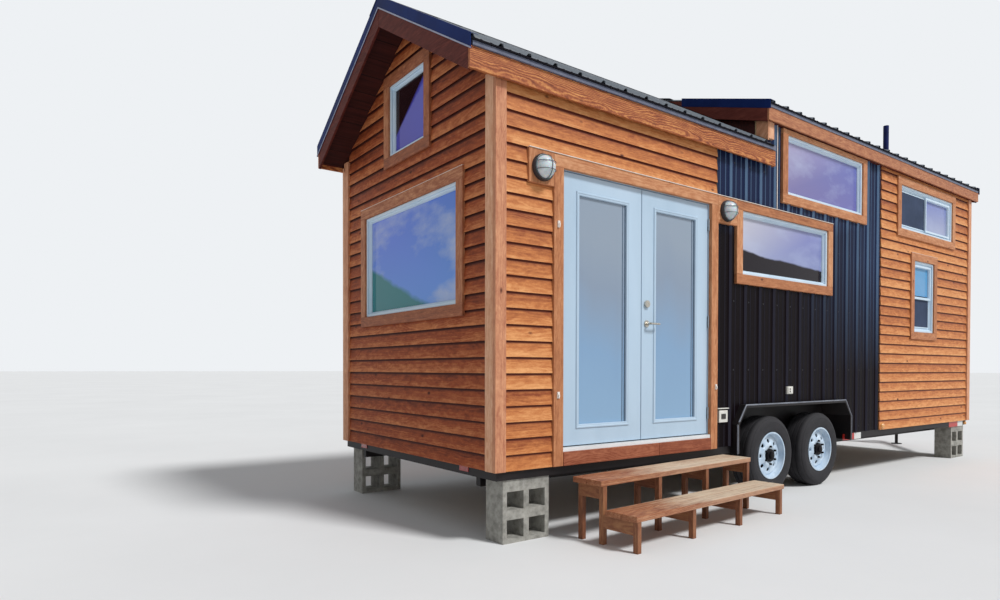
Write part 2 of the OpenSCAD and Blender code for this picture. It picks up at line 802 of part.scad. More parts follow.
// Rafters and decking of one pair of slopes
module roof_deck(x0, x1, pitch, drop) {
    y1 = half_w - ridge_beam_t / 2;
    z0 = ridge_z - (half_w - eave_y) * tan(pitch);
    z1 = ridge_z - (half_w - y1) * tan(pitch);
    both_sides() end_slab(x0, x1) polygon([[eave_y, z0 - drop], [y1, z1 - drop], [y1, z1], [eave_y, z0]]);
}

// Decking of the steep roof, which runs on under the dormer's overhang
module steep_roof() {
    color([0.42, 0.24, 0.13]) placed() difference() {
        roof_deck(roof_x0, dormer_x - seat, steep_pitch, deck_v);
        over_dormer(dormer_deck_x - seat, seat);
    }
}

// Decking of the dormer roof
module dormer_roof() {
    color([0.42, 0.24, 0.13]) placed() roof_deck(dormer_deck_x, roof_x1, dormer_pitch, dormer_deck_v);
}

// Lapped boards cut off level at a height
module lap_outline_to(z1) {
    intersection() {
        lap_outline(skirt_z, z1);
        translate([-lap_butt - 1, skirt_z]) square([lap_butt + 2, z1 - skirt_z]);
    }
}

// Siding of the gable wall, between the corner boards
module gable_siding() {
    intersection() {
        difference() {
            on_gable() end_slab(trim_w, house_w - trim_w) lap_outline(skirt_z, steep_peak);
            for (w = gable_windows) end_slab(-lap_butt - 1, 1) opening(w, trim_w);
        }
        end_slab(-lap_butt - 1, 1) gable_outline(skirt_z, wall_top - 1, steep_peak - 1);
    }
}

// Siding of the hitch end wall
module hitch_end_siding() {
    difference() {
        intersection() {
            translate([house_l, 0, 0]) mirror([1, 0, 0])
                on_gable() end_slab(trim_w, house_w - trim_w) lap_outline(skirt_z, dormer_peak);
            end_slab(house_l - 1, house_l + lap_butt + 1)
                gable_outline(skirt_z, dormer_top - 1, dormer_peak - 1);
        }
        beam_space();
    }
}

// Siding of the door side: round the doors, and from the metal to the hitch end
module door_side_siding() {
    difference() {
        union() {
            end_slab(trim_w - trim_t, panel_x) lap_outline_to(steep_soffit_z);
            end_slab(panel_end, house_l + trim_t - trim_w) lap_outline_to(dormer_soffit_z);
        }
        wall_slab(-lap_butt - 1, 1) {
            translate([trim_in - trim_w, 0]) square([panel_x, flashing_z]);
            translate([light_block_x, light_block_z]) square([panel_x, flashing_z - light_block_z]);
            flashing_outline();
            for (w = [slider_window, bath_window]) opening(w, trim_w);
        }
    }
}

// Siding of the whole back
module back_siding() {
    difference() {
        union() {
            end_slab(trim_w - trim_t, dormer_x + 1) lap_outline_to(steep_soffit_z);
            end_slab(dormer_x + 1, house_l + trim_t - trim_w) lap_outline_to(dormer_soffit_z);
        }
        wall_slab(-lap_butt - 1, 1) {
            translate([dormer_x, steep_soffit_z]) square([eave_end - dormer_x + 1, soffit_t + 1]);
            translate([dormer_x, corner_foot - 1]) square([corner_end - dormer_x + 1, dormer_soffit_z]);
            for (w = back_windows) opening(w, trim_w);
            fender_outline(0, 1);
        }
    }
}

// Cedar lap siding of all four walls
module cedar_siding() {
    color([0.72, 0.36, 0.14]) placed() {
        gable_siding();
        hitch_end_siding();
        door_side_siding();
        translate([0, house_w, 0]) mirror([0, 1, 0]) back_siding();
    }
}

// Black ribbed metal between the doors and the cedar of the hitch end, cut round the windows
module metal_wall_panel() {
    color([0.09, 0.1, 0.12]) placed() difference() {
        union() {
            translate([0, 0, panel_z]) linear_extrude(steep_soffit_z - panel_z)
                mirror([0, 1]) sheet_outline(panel_x, panel_end, wall_rib_x);
            translate([0, 0, panel_z]) linear_extrude(dormer_soffit_z - panel_z)
                mirror([0, 1]) intersection() {
                    sheet_outline(panel_x, panel_end, wall_rib_x);
                    translate([dormer_x + 1, -1]) square([panel_end, rib_h + sheet_t + 2]);
                }
        }
        wall_slab(-rib_h - sheet_t - 1, 1) {
            translate([dormer_x, steep_soffit_z]) square([eave_end - dormer_x + 1, soffit_t + 1]);
            translate([dormer_x, corner_foot - 1]) square([corner_end - dormer_x + 1, dormer_soffit_z]);
            opening(low_window, trim_w);
            opening(dormer_window, trim_w);
            fender_outline(0, 1);
            flashing_outline();
            seam_outline();
            for (b = outlet_boxes) opening(b);
            translate([panel_x - 1, light_block_z])
                square([low_window[0] - trim_w - panel_x + 1, flashing_z - light_block_z]);
        }
    }
}

// Ribbed metal of the steep roof
module steep_roof_metal() {
    color([0.1, 0.11, 0.13]) placed() difference() {
        both_sides()
            roof_sheet(roof_x0 - fascia_t, dormer_x - 1, steep_rib_x, steep_pitch, sheet_y0, half_w - 30);
        over_dormer(dormer_deck_x - 1, 1);
    }
}

// Ribbed metal of the dormer roof
module dormer_roof_metal() {
    color([0.1, 0.11, 0.13]) placed() difference() {
        both_sides()
            roof_sheet(dormer_rake_x, roof_x1 + fascia_t, dormer_rib_x, dormer_pitch, sheet_y0, half_w - 30);
        translate([vent_x, vent_y, dormer_top]) cylinder(r = vent_r + 1, h = ridge_z - dormer_top);
    }
}

// Folded cap over the ridge
module ridge_cap() {
    color([0.1, 0.11, 0.13]) placed() both_sides() {
        cap_wing(rake_face, dormer_rake_x - 10, steep_pitch);
        cap_wing(dormer_rake_x - 8, roof_x1 + fascia_t + 8, dormer_pitch);
    }
}

// One wing of the ridge cap, lying on the high ribs
module cap_wing(x0, x1, pitch) {
    h = (rib_h + sheet_t) / cos(pitch) + ridge_z + 2 * sheet_seat;
    y0 = half_w - ridge_cap_w;
    drop = ridge_cap_w * tan(pitch);
    end_slab(x0, x1)
        polygon([[y0, h - drop], [half_w, h], [half_w, h + sheet_t * 2], [y0, h - drop + sheet_t * 2]]);
}

// Fascia boards along the eaves
module fascias() {
    color([0.74, 0.4, 0.17]) placed() both_sides() {
        block([roof_x0 - fascia_t, eave_y - fascia_t, steep_fascia_z],
            [eave_end, eave_y, steep_fascia_z + fascia_h]);
        block([dormer_rake_x, eave_y - fascia_t, dormer_fascia_z],
            [roof_x1 + fascia_t, eave_y, dormer_fascia_z + fascia_h]);
        block([eave_end - fascia_t, eave_y, steep_fascia_z],
            [eave_end, -trim_t - 1, steep_fascia_z + fascia_h]);
        block([0, eave_y, steep_soffit_z + seat], [eave_end - fascia_t, 0, steep_soffit_z + soffit_t]);
        block([dormer_x, eave_y, dormer_soffit_z + seat], [house_l, 0, dormer_soffit_z + soffit_t]);
    }
}

// Sloped boards on the ends of a roof, over the decking's edge
module rake_pair(x0, pitch, drop) {
    top = 6;
    y1 = half_w - board_gap / 2;
    z0 = ridge_z - (half_w - eave_y) * tan(pitch);
    z1 = ridge_z - (half_w - y1) * tan(pitch);
    both_sides() end_slab(x0, x0 + fascia_t)
        polygon([[eave_y, z0 - drop], [y1, z1 - drop], [y1, z1 - top], [eave_y, z0 - top]]);
}

// Rake boards of the gable, of the dormer and of the hitch end
module rakes() {
    color([0.5, 0.27, 0.14]) placed() {
        rake_pair(roof_x0 - fascia_t, steep_pitch, steep_rake_drop);
        rake_pair(roof_x1, dormer_pitch, dormer_rake_drop);
        dormer_rake();
    }
}

// Rake board of the dormer, which runs out to a point where the steep roof rises past it
module dormer_rake() {
    top = 6;
    drop = dormer_rake_drop;
    clear = (rib_h + sheet_t) / cos(steep_pitch) + 6;
    closing = tan(steep_pitch) - tan(dormer_pitch);
    y1 = half_w - (drop + clear) / closing;
    y2 = half_w - (top + clear) / closing;
    both_sides() end_slab(dormer_rake_x, dormer_rake_x + fascia_t) polygon([
        [eave_y, dormer_z(eave_y) - drop], [y1, dormer_z(y1) - drop],
        [y2, dormer_z(y2) - top], [eave_y, dormer_z(eave_y) - top]]);
}

// Outline of the flashing that runs over the lights, the doors and the lower window
module flashing_outline() {
    translate([light_block_x, flashing_z])
        square([low_window[0] + low_window[2] + trim_w - light_block_x, flashing_t]);
}

// Folded metal edge over a rake board: a face from low to the ribs' tops, and a flange lying on the ribs
module rake_edge(face, inward, pitch, low) {
    top = (rib_h + sheet_t) / cos(pitch) + 2 * sheet_seat;
    y1 = half_w - ridge_cap_w - 1;
    z0 = ridge_z - (half_w - sheet_y0) * tan(pitch);
    z1 = ridge_z - (half_w - y1) * tan(pitch);
    both_sides() {
        end_slab(min(face, face + inward * edge_t), max(face, face + inward * edge_t))
            polygon([[sheet_y0, z0 - low], [half_w - board_gap, ridge_z - low],
                [half_w - board_gap, ridge_z + top - 0.4], [y1, z1 + top - 0.4],
                [y1, z1 + top + 3], [sheet_y0, z0 + top + 3]]);
        end_slab(min(face, face + inward * edge_w), max(face, face + inward * edge_w))
            polygon([[sheet_y0, z0 + top], [y1, z1 + top], [y1, z1 + top + 3], [sheet_y0, z0 + top + 3]]);
    }
}

// Folded metal edge of the dormer's rake, which stops where the steep roof rises past it
module dormer_edge() {
    top = (rib_h + sheet_t) / cos(dormer_pitch) + 2 * sheet_seat;
    clear = (rib_h + sheet_t) / cos(steep_pitch) + 6;
    low = 58;
    y1 = half_w - ridge_cap_w - 1;
    y2 = half_w - (low + clear) / (tan(steep_pitch) - tan(dormer_pitch));
    z0 = dormer_z(sheet_y0);
    z1 = dormer_z(y1);
    both_sides() {
        end_slab(dormer_rake_x - edge_t, dormer_rake_x) polygon([[sheet_y0, z0 - low], [y2, dormer_z(y2) - low],
            [y1, steep_z(y1) + clear], [y1, z1 + top + 3], [sheet_y0, z0 + top + 3]]);
        end_slab(dormer_rake_x - edge_t, dormer_rake_x + edge_w)
            polygon([[sheet_y0, z0 + top], [y1, z1 + top], [y1, z1 + top + 3], [sheet_y0, z0 + top + 3]]);
    }
}

// Folded metal edges: drips along the eaves, rake edges, and the flashing over doors and windows
module metal_trims() {
    cover = 25;
    color([0.45, 0.46, 0.48]) placed() {
        both_sides() {
            block([roof_x0, drip_y, steep_fascia_z + fascia_h], [dormer_x, eave_y, steep_z(drip_y)]);
            block([dormer_x, drip_y, steep_fascia_z + fascia_h],
                [eave_end, -trim_t - 1, steep_z(drip_y)]);
            block([dormer_deck_x, drip_y, dormer_fascia_z + fascia_h],
                [roof_x1, eave_y, dormer_z(drip_y)]);
            block([dormer_deck_x, drip_y, dormer_fascia_z + fascia_h - cover],
                [roof_x1, eave_y - fascia_t, dormer_z(drip_y)]);
        }
        rake_edge(roof_x0 - fascia_t - edge_t, 1, steep_pitch, 70);
        rake_edge(roof_x1 + fascia_t + edge_t, -1, dormer_pitch, 58);
        dormer_edge();
        wall_slab(-trim_t - 6, 0) flashing_outline();
        wall_slab(-rib_h - sheet_t - 4, 0) seam_outline();
    }
}

// Outline of the upright strip where the upper metal of the wall starts
module seam_outline() {
    translate([seam_x, flashing_z + flashing_t]) square([10, dormer_soffit_z - flashing_z - flashing_t]);
}

// Boards on the near corner of a dormer, standing clear of the steep roof's ribs
module dormer_corner() {
    over = (rib_h + sheet_t) / cos(steep_pitch) + 4;
    y0 = -trim_t + 1;
    y1 = 94;
    end_slab(dormer_x - 16, dormer_x) polygon([[y0, steep_z(y0) + over], [y1, steep_z(y1) + over],
        [y1, dormer_z(y1) - dormer_deck_v - board_gap], [y0, dormer_z(y0) - dormer_deck_v - board_gap]]);
    block([dormer_x + board_gap, -trim_t, corner_foot], [corner_end, 0, dormer_soffit_z]);
}

// Corner boards of the four corners and of the dormer's corners
module corner_boards() {
    color([0.76, 0.45, 0.22]) placed() both_sides() {
        block([-trim_t, -trim_t, trim_bottom], [trim_w - trim_t, 0, steep_soffit_z]);
        block([-trim_t, board_gap, trim_bottom], [0, trim_w, wall_top - 1]);
        block([house_l + trim_t - trim_w, -trim_t, trim_bottom], [house_l + trim_t, 0, dormer_soffit_z]);
        block([house_l, board_gap, trim_bottom], [house_l + trim_t, trim_w, dormer_top - 1]);
        dormer_corner();
    }
}

// Boards round the doors, the sill board, and the two blocks that carry the lights
module door_trim() {
    r1 = trim_out + trim_w;
    color([0.74, 0.42, 0.2]) placed() {
        block([trim_in - trim_w, -trim_t, trim_bottom], [trim_in, 0, flashing_z - trim_w - board_gap]);
        block([trim_out, -trim_t, trim_bottom], [r1, 0, flashing_z - trim_w - board_gap]);
        block([trim_in - trim_w, -trim_t, flashing_z - trim_w], [r1, 0, flashing_z]);
        block([light_block_x, -trim_t, light_block_z], [trim_in - trim_w - board_gap, 0, flashing_z]);
        block([r1 + board_gap, -trim_t, light_block_z], [low_window[0] - trim_w - board_gap, 0, flashing_z]);
        block([trim_in + board_gap, -38, trim_bottom], [trim_out - board_gap, 0, sill_board_top]);
    }
}

// Boards round all the windows
module window_trims() {
    color([0.76, 0.44, 0.2]) placed() {
        window_trim(low_window, flashing_z - low_window[1] - window_h - board_gap);
        window_trim(dormer_window, dormer_soffit_z - dormer_window[1] - window_h - 8);
        window_trim(slider_window);
        window_trim(bath_window);
        on_gable() for (w = gable_windows) window_trim(w);
        translate([0, house_w, 0]) mirror([0, 1, 0]) for (w = back_windows) window_trim(w);
    }
}

// Frames of every window
module window_frames() {
    color([0.93, 0.94, 0.93]) placed() {
        window_frame(low_window);
        window_frame(dormer_window);
        window_frame(slider_window, [slider_window[0] + window_w / 2]);
        window_frame(bath_window, [], [bath_window[1] + bath_window_h / 2]);
        on_gable() for (w = gable_windows) window_frame(w);
        translate([0, house_w, 0]) mirror([0, 1, 0]) {
            window_frame(back_low);
            window_frame(back_slider, [back_slider[0] + window_w / 2]);
        }
    }
}

// Glass of every window
module window_glass() {
    color([0.5, 0.55, 0.75, 0.6]) placed() {
        window_panes(low_window);
        window_panes(dormer_window);
        window_panes(slider_window, [slider_window[0] + window_w / 2]);
        window_panes(bath_window, [], [bath_window[1] + bath_window_h / 2]);
        on_gable() for (w = gable_windows) window_panes(w);
        translate([0, house_w, 0]) mirror([0, 1, 0]) {
            window_panes(back_low);
            window_panes(back_slider, [back_slider[0] + window_w / 2]);
        }
    }
}

// Jambs, head and stops of the doorway
module door_frame() {
    x0 = door_x - jamb_t;
    x1 = door_x + opening_w + jamb_t;
    stop_y = leaf_set + leaf_t + stop_gap;
    color([0.9, 0.92, 0.95]) placed() {
        for (side = [0, 1]) translate([side * (x0 + x1), 0, 0]) mirror([side, 0, 0]) {
            block([x0, 0, threshold_z + board_gap], [door_x, wall_t, head_z - board_gap]);
            block([door_x - eps, stop_y, threshold_z + board_gap],
                [door_x + stop_w, wall_t, head_z - stop_w - board_gap]);
        }
        translate([mid_x, mid_y, 0]) for (right = [false, true]) at_leaf(right) frame_knuckles();
        block([x0, 0, head_z], [x1, wall_t, head_z + jamb_t]);
        block([x0, stop_y, head_z - stop_w], [x1, wall_t, head_z + eps]);
    }
}

// Threshold under the doors, with its white nosing
module threshold() {
    color([0.9, 0.91, 0.93]) placed() {
        block([door_x - jamb_t, 0, sill_h], [door_x + opening_w + jamb_t, wall_t, threshold_z]);
        block([trim_in + board_gap, -24, sill_board_top + board_gap], [trim_out - board_gap, 0, threshold_z]);
    }
}

// One leaf with its glazing hole, drawn with its hinged edge at x = 0 and its face at y = 0
module leaf() {
    difference() {
        union() {
            cube([leaf_w, leaf_t, leaf_h]);
            translate([stile_w - lite_w, -lite_out, bottom_rail - lite_w])
                cube([leaf_w - 2 * (stile_w - lite_w), leaf_t + 2 * lite_out,
                    leaf_h - bottom_rail - top_rail + 2 * lite_w]);
        }
        translate([stile_w, -10, bottom_rail])
            cube([leaf_w - 2 * stile_w, leaf_t + 20, leaf_h - bottom_rail - top_rail]);
    }
}

// Glass of one leaf
module leaf_glass() {
    translate([stile_w, (leaf_t - glass_t) / 2, bottom_rail])
        cube([leaf_w - 2 * stile_w, glass_t, leaf_h - bottom_rail - top_rail]);
}

// One stretch of a hinge: its barrel, and the plate that joins it to the edge at x
module hinge_part(x, z0, z1) {
    translate([pin_x, -pin_out, z0]) cylinder(r = knuckle_r, h = z1 - z0);
    block([x, -pin_out, z0], [x + hinge_plate, hinge_deep, z1]);
}

// Middle stretches of the three hinges, fixed to the leaf
module leaf_knuckles() {
    for (z = hinge_z) hinge_part(-hinge_plate, z - hinge_h / 6, z + hinge_h / 6);
}

// Outer stretches of the three hinges, fixed to the frame, with the pin between them
module frame_knuckles() {
    for (z = hinge_z) {
        hinge_part(-leaf_gap, z - hinge_h / 2, z - hinge_h / 6 - hinge_run);
        hinge_part(-leaf_gap, z + hinge_h / 6 + hinge_run, z + hinge_h / 2);
    }
}

// Puts a leaf's piece at the left or the right hinge
module at_leaf(right) {
    x = door_x + leaf_gap;
    placed() translate([right ? door_x + opening_w - leaf_gap : x, leaf_set, door_z])
        mirror([right ? 1 : 0, 0, 0]) children();
}

module left_door() {
    color([0.8, 0.87, 0.95]) at_leaf(false) union() {
        leaf();
        leaf_knuckles();
    }
}

module left_door_glass() {
    color([0.72, 0.82, 0.92]) at_leaf(false) leaf_glass();
}

module right_door() {
    color([0.8, 0.87, 0.95]) at_leaf(true) union() {
        leaf();
        leaf_knuckles();
    }
}

module right_door_glass() {
    color([0.72, 0.82, 0.92]) at_leaf(true) leaf_glass();
}

// Lever and deadbolt on the free stile of the right leaf, outside and inside
module door_lever() {
    x = leaf_w - 54;
    color([0.72, 0.71, 0.68]) at_leaf(true) {
        for (s = [0, 1]) translate([x, s * leaf_t, lever_h]) rotate([s == 0 ? 90 : -90, 0, 0]) {
            cylinder(r = 27, h = 8);
            cylinder(r = 9, h = 46);
            translate([0, 0, 46]) rotate([0, -90, 0]) cylinder(r = 8, h = 105);
        }
        for (s = [0, 1]) translate([x, s * leaf_t, lever_h + 155]) rotate([s == 0 ? 90 : -90, 0, 0])
            cylinder(r = 28, h = 16);
    }
}

// Round bulkhead light with its base, its dome and a cage
module wall_light() {
    color([0.85, 0.87, 0.88]) rotate([90, 0, 0]) {
        cylinder(r = light_r, h = 22);
        translate([0, 0, 22]) intersection() {
            translate([0, 0, 70 - dome_r]) sphere(r = dome_r, $fn = 64);
            cylinder(r = light_r - 12, h = 80);
        }
        translate([0, 0, 58]) rotate_extrude() translate([light_r - 22, 0]) circle(r = 5, $fn = 24);
    }
}

module wall_lights() {
    placed() {
        for (x = [light_block_x + 92, panel_x + 89])
            translate([x, -trim_t, light_z]) wall_light();
    }
}

// Covered sockets let into the metal wall, beside the doors and over the wheels
module outlets() {
    color([0.9, 0.89, 0.84]) placed() for (b = outlet_boxes) wall_slab(-outlet_out, 0) opening(b);
}

// Vent pipe through the dormer roof, with its boot lying on the ribs
module vent_pipe() {
    z = dormer_z(vent_y);
    over = (rib_h + sheet_t) / cos(dormer_pitch) + 1;
    color([0.08, 0.09, 0.12]) placed() translate([vent_x, vent_y, z]) difference() {
        union() {
            translate([0, 0, -60]) cylinder(r = vent_r, h = vent_h + 60);
            translate([0, 0, -10]) cylinder(r1 = vent_r + 52, r2 = vent_r + 6, h = over + 70);
        }
        translate([0, 0, 100]) cylinder(r = vent_r - 5, h = vent_h);
        difference() {
            translate([-200, 0, over]) rotate([dormer_pitch, 0, 0])
                translate([0, -200, -300]) cube([400, 400, 300]);
            translate([0, 0, -300]) cylinder(r = vent_r, h = 600);
        }
        translate([-200, 0, sheet_seat / 2]) rotate([dormer_pitch, 0, 0])
            translate([0, -200, -300]) cube([400, 400, 300]);
    }
}

// Puts a piece of the steps beside the house, drawn from the upper step's corner at the wheels
module at_steps() {
    placed() translate([step_x, -step_gap, 0]) rotate(step_turn) children();
}

// Two planks on each of the two steps
module step_planks() {
    w = (step_d - plank_gap) / 2;
    color([0.55, 0.27, 0.16]) at_steps() for (s = [0, 1]) for (i = [0, 1])
        translate([s * step_shift - step_l, -s * step_run - (i + 1) * w - i * plank_gap,
            step_top - s * step_rise - plank_t]) cube([step_l, w, plank_t]);
}

// Posts of the steps, with the bearers that carry the planks and tie the lower step to the upper one
module step_posts() {
    n = 4;
    pitch = (step_l - step_shift - 2 * post_in - post_t) / (n - 1);
    color([0.48, 0.25, 0.14]) at_steps() for (s = [0, 1]) for (i = [0 : n - 1]) {
        h = step_top - s * step_rise - plank_t;
        x = step_shift - step_l + post_in + i * pitch;
        front = -step_d - s * step_run + post_back;
        back = s == 0 ? -rear_post : post_back - step_d;
        translate([x, front, 0]) cube([post_t, post_t, h]);
        translate([x, front + post_t - eps, h - bearer_h])
            cube([post_t, back - front - post_t + 2 * eps, bearer_h]);
        if (s == 0) translate([x, back - post_t, 0]) cube([post_t, post_t, h - bearer_h + eps]);
    }
}

trailer_rails();
cross_members();
drawbar();
coupler();
tongue_jack();
axles();
springs();
fenders();
tyre_rear_left();
tyre_rear_right();
tyre_front_left();
tyre_front_right();
wheel_rear_left();
wheel_rear_right();
wheel_front_left();
wheel_front_right();
support_blocks();
floor();
gable_wall();
hitch_end_wall();
door_wall_corner();
door_wall_head();
door_wall_main();
back_wall();
dormer_cheeks();
loft_floor();
ridge_beam();
steep_roof();
dormer_roof();
cedar_siding();
metal_wall_panel();
steep_roof_metal();
dormer_roof_metal();
ridge_cap();
fascias();
rakes();
metal_trims();
corner_boards();
door_trim();
window_trims();
window_frames();
window_glass();
door_frame();
threshold();
left_door();
left_door_glass();
right_door();
right_door_glass();
door_lever();
wall_lights();
outlets();
vent_pipe();
step_planks();
step_posts();
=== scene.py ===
import math

import bmesh
import bpy
import numpy as np
from mathutils import Matrix, Vector


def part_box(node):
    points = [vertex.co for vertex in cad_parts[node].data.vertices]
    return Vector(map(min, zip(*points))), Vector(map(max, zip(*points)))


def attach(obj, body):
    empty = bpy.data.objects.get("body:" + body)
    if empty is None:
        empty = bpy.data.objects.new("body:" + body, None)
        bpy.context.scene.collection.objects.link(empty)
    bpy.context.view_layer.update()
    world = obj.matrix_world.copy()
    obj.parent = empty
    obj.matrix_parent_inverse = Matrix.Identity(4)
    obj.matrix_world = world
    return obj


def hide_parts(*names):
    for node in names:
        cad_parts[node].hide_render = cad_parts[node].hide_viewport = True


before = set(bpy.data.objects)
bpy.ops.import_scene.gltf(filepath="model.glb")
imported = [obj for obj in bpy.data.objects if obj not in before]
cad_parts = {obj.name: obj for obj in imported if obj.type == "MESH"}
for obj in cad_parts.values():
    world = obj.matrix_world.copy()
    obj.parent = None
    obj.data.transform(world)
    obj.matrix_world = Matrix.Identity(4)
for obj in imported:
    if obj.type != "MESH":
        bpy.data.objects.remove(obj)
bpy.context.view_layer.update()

# Camera. It stands off the corner of the gable at chest height and looks level along the door side,
# with its lens shifted up. Sizes from here on are millimetres of the house: x from the gable's
# sheathing towards the hitch, y from the door side's sheathing towards the back, z from the ground.
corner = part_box("gable_wall")[0]
CORNER = np.array([corner.x * 1000, corner.y * 1000, 0.0])
scene = bpy.context.scene
scene.view_settings.view_transform = "Standard"


def metres(points):
    """House millimetres in the frame's metres: (point + corner of the house) / 1000."""
    return (np.asarray(points, float) + CORNER) / 1000


yaw, pitch, roll = 0.94112, -0.01356, 0.00182
stand = (-2529.7, -3511.4, 1172.5)
ahead = np.array([math.cos(pitch) * math.cos(yaw), math.cos(pitch) * math.sin(yaw), math.sin(pitch)])
level = np.array([math.sin(yaw), -math.cos(yaw), 0.0])
upward = np.cross(level, ahead)
right = math.cos(roll) * level + math.sin(roll) * upward
above = math.cos(roll) * upward - math.sin(roll) * level
lens = bpy.data.cameras.new("camera")
lens.sensor_width = 36
lens.lens = 23.70
lens.shift_y = 0.078
lens.clip_end = 1000
camera = bpy.data.objects.new("camera", lens)
turn = Matrix(np.column_stack([right, above, -ahead]).tolist()).to_4x4()
camera.matrix_world = Matrix.Translation(metres(stand).tolist()) @ turn
scene.collection.objects.link(camera)
scene.camera = camera


# Studio. A broad soft lamp stands high on the door side, so that the gable lies in its own shade as
# in the photograph; the world fills the shadows, and shows pale to the camera, metal and glass.
def linear(code):
    """An sRGB hex colour as linear red, green, blue and alpha: ((c + 0.055) / 1.055) ^ 2.4, or c / 12.92."""
    parts = [int(code[i:i + 2], 16) / 255 for i in (1, 3, 5)]
    return [((c + 0.055) / 1.055) ** 2.4 if c > 0.04045 else c / 12.92 for c in parts] + [1.0]


def put(tree, socket, value):
    """Fills a socket with a number, a hex colour, or a link from a node or from another socket."""
    if isinstance(value, bpy.types.Node):
        value = value.outputs[0]
    if isinstance(value, bpy.types.NodeSocket):
        tree.links.new(value, socket)
    else:
        socket.default_value = linear(value) if isinstance(value, str) else value


def add(tree, kind, inputs=None, stops=None, **settings):
    """Adds one node of a kind with its settings, its ramp's stops and what its inputs are filled with."""
    made = tree.nodes.new("ShaderNode" + kind)
    for key, value in settings.items():
        setattr(made, key, value)
    if stops:
        elements = made.color_ramp.elements
        elements[0].position, elements[1].position = stops[0][0], stops[-1][0]
        for place, code in stops[1:-1]:
            elements.new(place)
        for element, (place, code) in zip(elements, stops):
            element.color = linear(code)
    for key, value in (inputs or {}).items():
        put(tree, made.inputs[key], value)
    return made


lamp = bpy.data.lights.new("key_lamp", "SUN")
lamp.energy = 2.75
lamp.angle = math.radians(12)
key = bpy.data.objects.new("key_lamp", lamp)
key.matrix_world = Vector((0.22, -0.60, 0.77)).to_track_quat("Z", "Y").to_matrix().to_4x4()
scene.collection.objects.link(key)

world = bpy.data.worlds.new("studio")
scene.world = world
world.use_nodes = True
air = world.node_tree
ray = add(air, "LightPath")
seen = ray.outputs["Is Camera Ray"]
for kind in ("Is Glossy Ray", "Is Transmission Ray"):
    seen = add(air, "Math", {0: seen, 1: ray.outputs[kind]}, operation="MAXIMUM")
fill = add(air, "Background", {"Color": "#f4f6fa", "Strength": 0.36})
pale = add(air, "Background", {"Color": "#eef1f4", "Strength": 1.0})
put(air, air.nodes["World Output"].inputs["Surface"], add(air, "MixShader", {0: seen, 1: fill, 2: pale}))


def blank(name):
    """An empty material and its node tree, with one Principled shader in it."""
    made = bpy.data.materials.new(name)
    made.use_nodes = True
    return made, made.node_tree


def dress(made, colour, rough, height=None, lift=0.001, **fixed):
    """Puts colour, roughness and height on a material's shader, and fixed numbers on its own sockets. Lift
    is the height's reach in metres."""
    tree = made.node_tree
    shader = tree.nodes["Principled BSDF"]
    for key, value in {"base_color": colour, "roughness": rough, **fixed}.items():
        name = "Specular IOR Level" if key == "specular" else key.replace("_", " ").title()
        put(tree, shader.inputs[name], value)
    if height is not None:
        bump = add(tree, "Bump", {"Strength": 1.0, "Distance": lift, "Height": height})
        put(tree, shader.inputs["Normal"], bump)
    return made


def spotted(name, dark, light, size, rough=(0.4, 0.6), lift=0.0002, stretch=(1, 1, 1), **fixed):
    """Two close tones in cloudy patches of one size in metres, and a grain twelve times as fine. A stretch
    under 1 draws both out along x, y or z."""
    made, tree = blank(name)
    at = add(tree, "TexCoord").outputs["Object"]
    at = add(tree, "Mapping", {"Vector": at, "Scale": [s / size for s in stretch]})
    cloud = add(tree, "TexNoise", {"Vector": at, "Scale": 1.0, "Detail": 5.0, "Roughness": 0.6})
    grain = add(tree, "TexNoise", {"Vector": at, "Scale": 12.0, "Detail": 3.0})
    tone = add(tree, "ValToRGB", {"Fac": cloud}, stops=[(0.3, dark), (0.7, light)])
    shine = add(tree, "MapRange", {0: cloud, 3: rough[0], 4: rough[1]})
    return dress(made, tone, shine, grain, lift, **fixed)


ground = bpy.data.meshes.new("studio_floor")
edge = 300
corners = [(-edge, -edge, 0), (edge, -edge, 0), (edge, edge, 0), (-edge, edge, 0)]
ground.from_pydata(corners, [], [(0, 1, 2, 3)])
# Painted board floor: matt, pale and nearly even.
ground.materials.append(spotted("studio_floor_paint", "#dcdddd", "#e2e3e3", 3.0, (0.8, 0.9), 0.0))
ground = bpy.data.objects.new("studio_floor", ground)
scene.collection.objects.link(ground)

# Trailer frame. Welded steel channel and box, painted black and dusty from the road: long rails,
# cross members, drawbar, jack, dropped axles and leaf springs, with the coupler in a harder enamel.
# Brushed chassis enamel: near black, half glossy, browned by dust in soft patches.
frame_paint = spotted("brushed_chassis_enamel", "#0f0d10", "#1f1919", 0.22, (0.4, 0.65), 0.0004, specular=0.3)
coupler_paint = spotted("coupler_enamel", "#1c1b1f", "#302c2e", 0.05, (0.25, 0.4), 0.0002)


def finish_node(material, *names):
    """Gives CAD nodes that stay as they are their material."""
    for name in names:
        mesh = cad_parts[name].data
        mesh.materials.clear()
        mesh.materials.append(material)


finish_node(frame_paint, "trailer_rails", "cross_members", "drawbar", "tongue_jack", "axles", "springs")
finish_node(coupler_paint, "coupler")

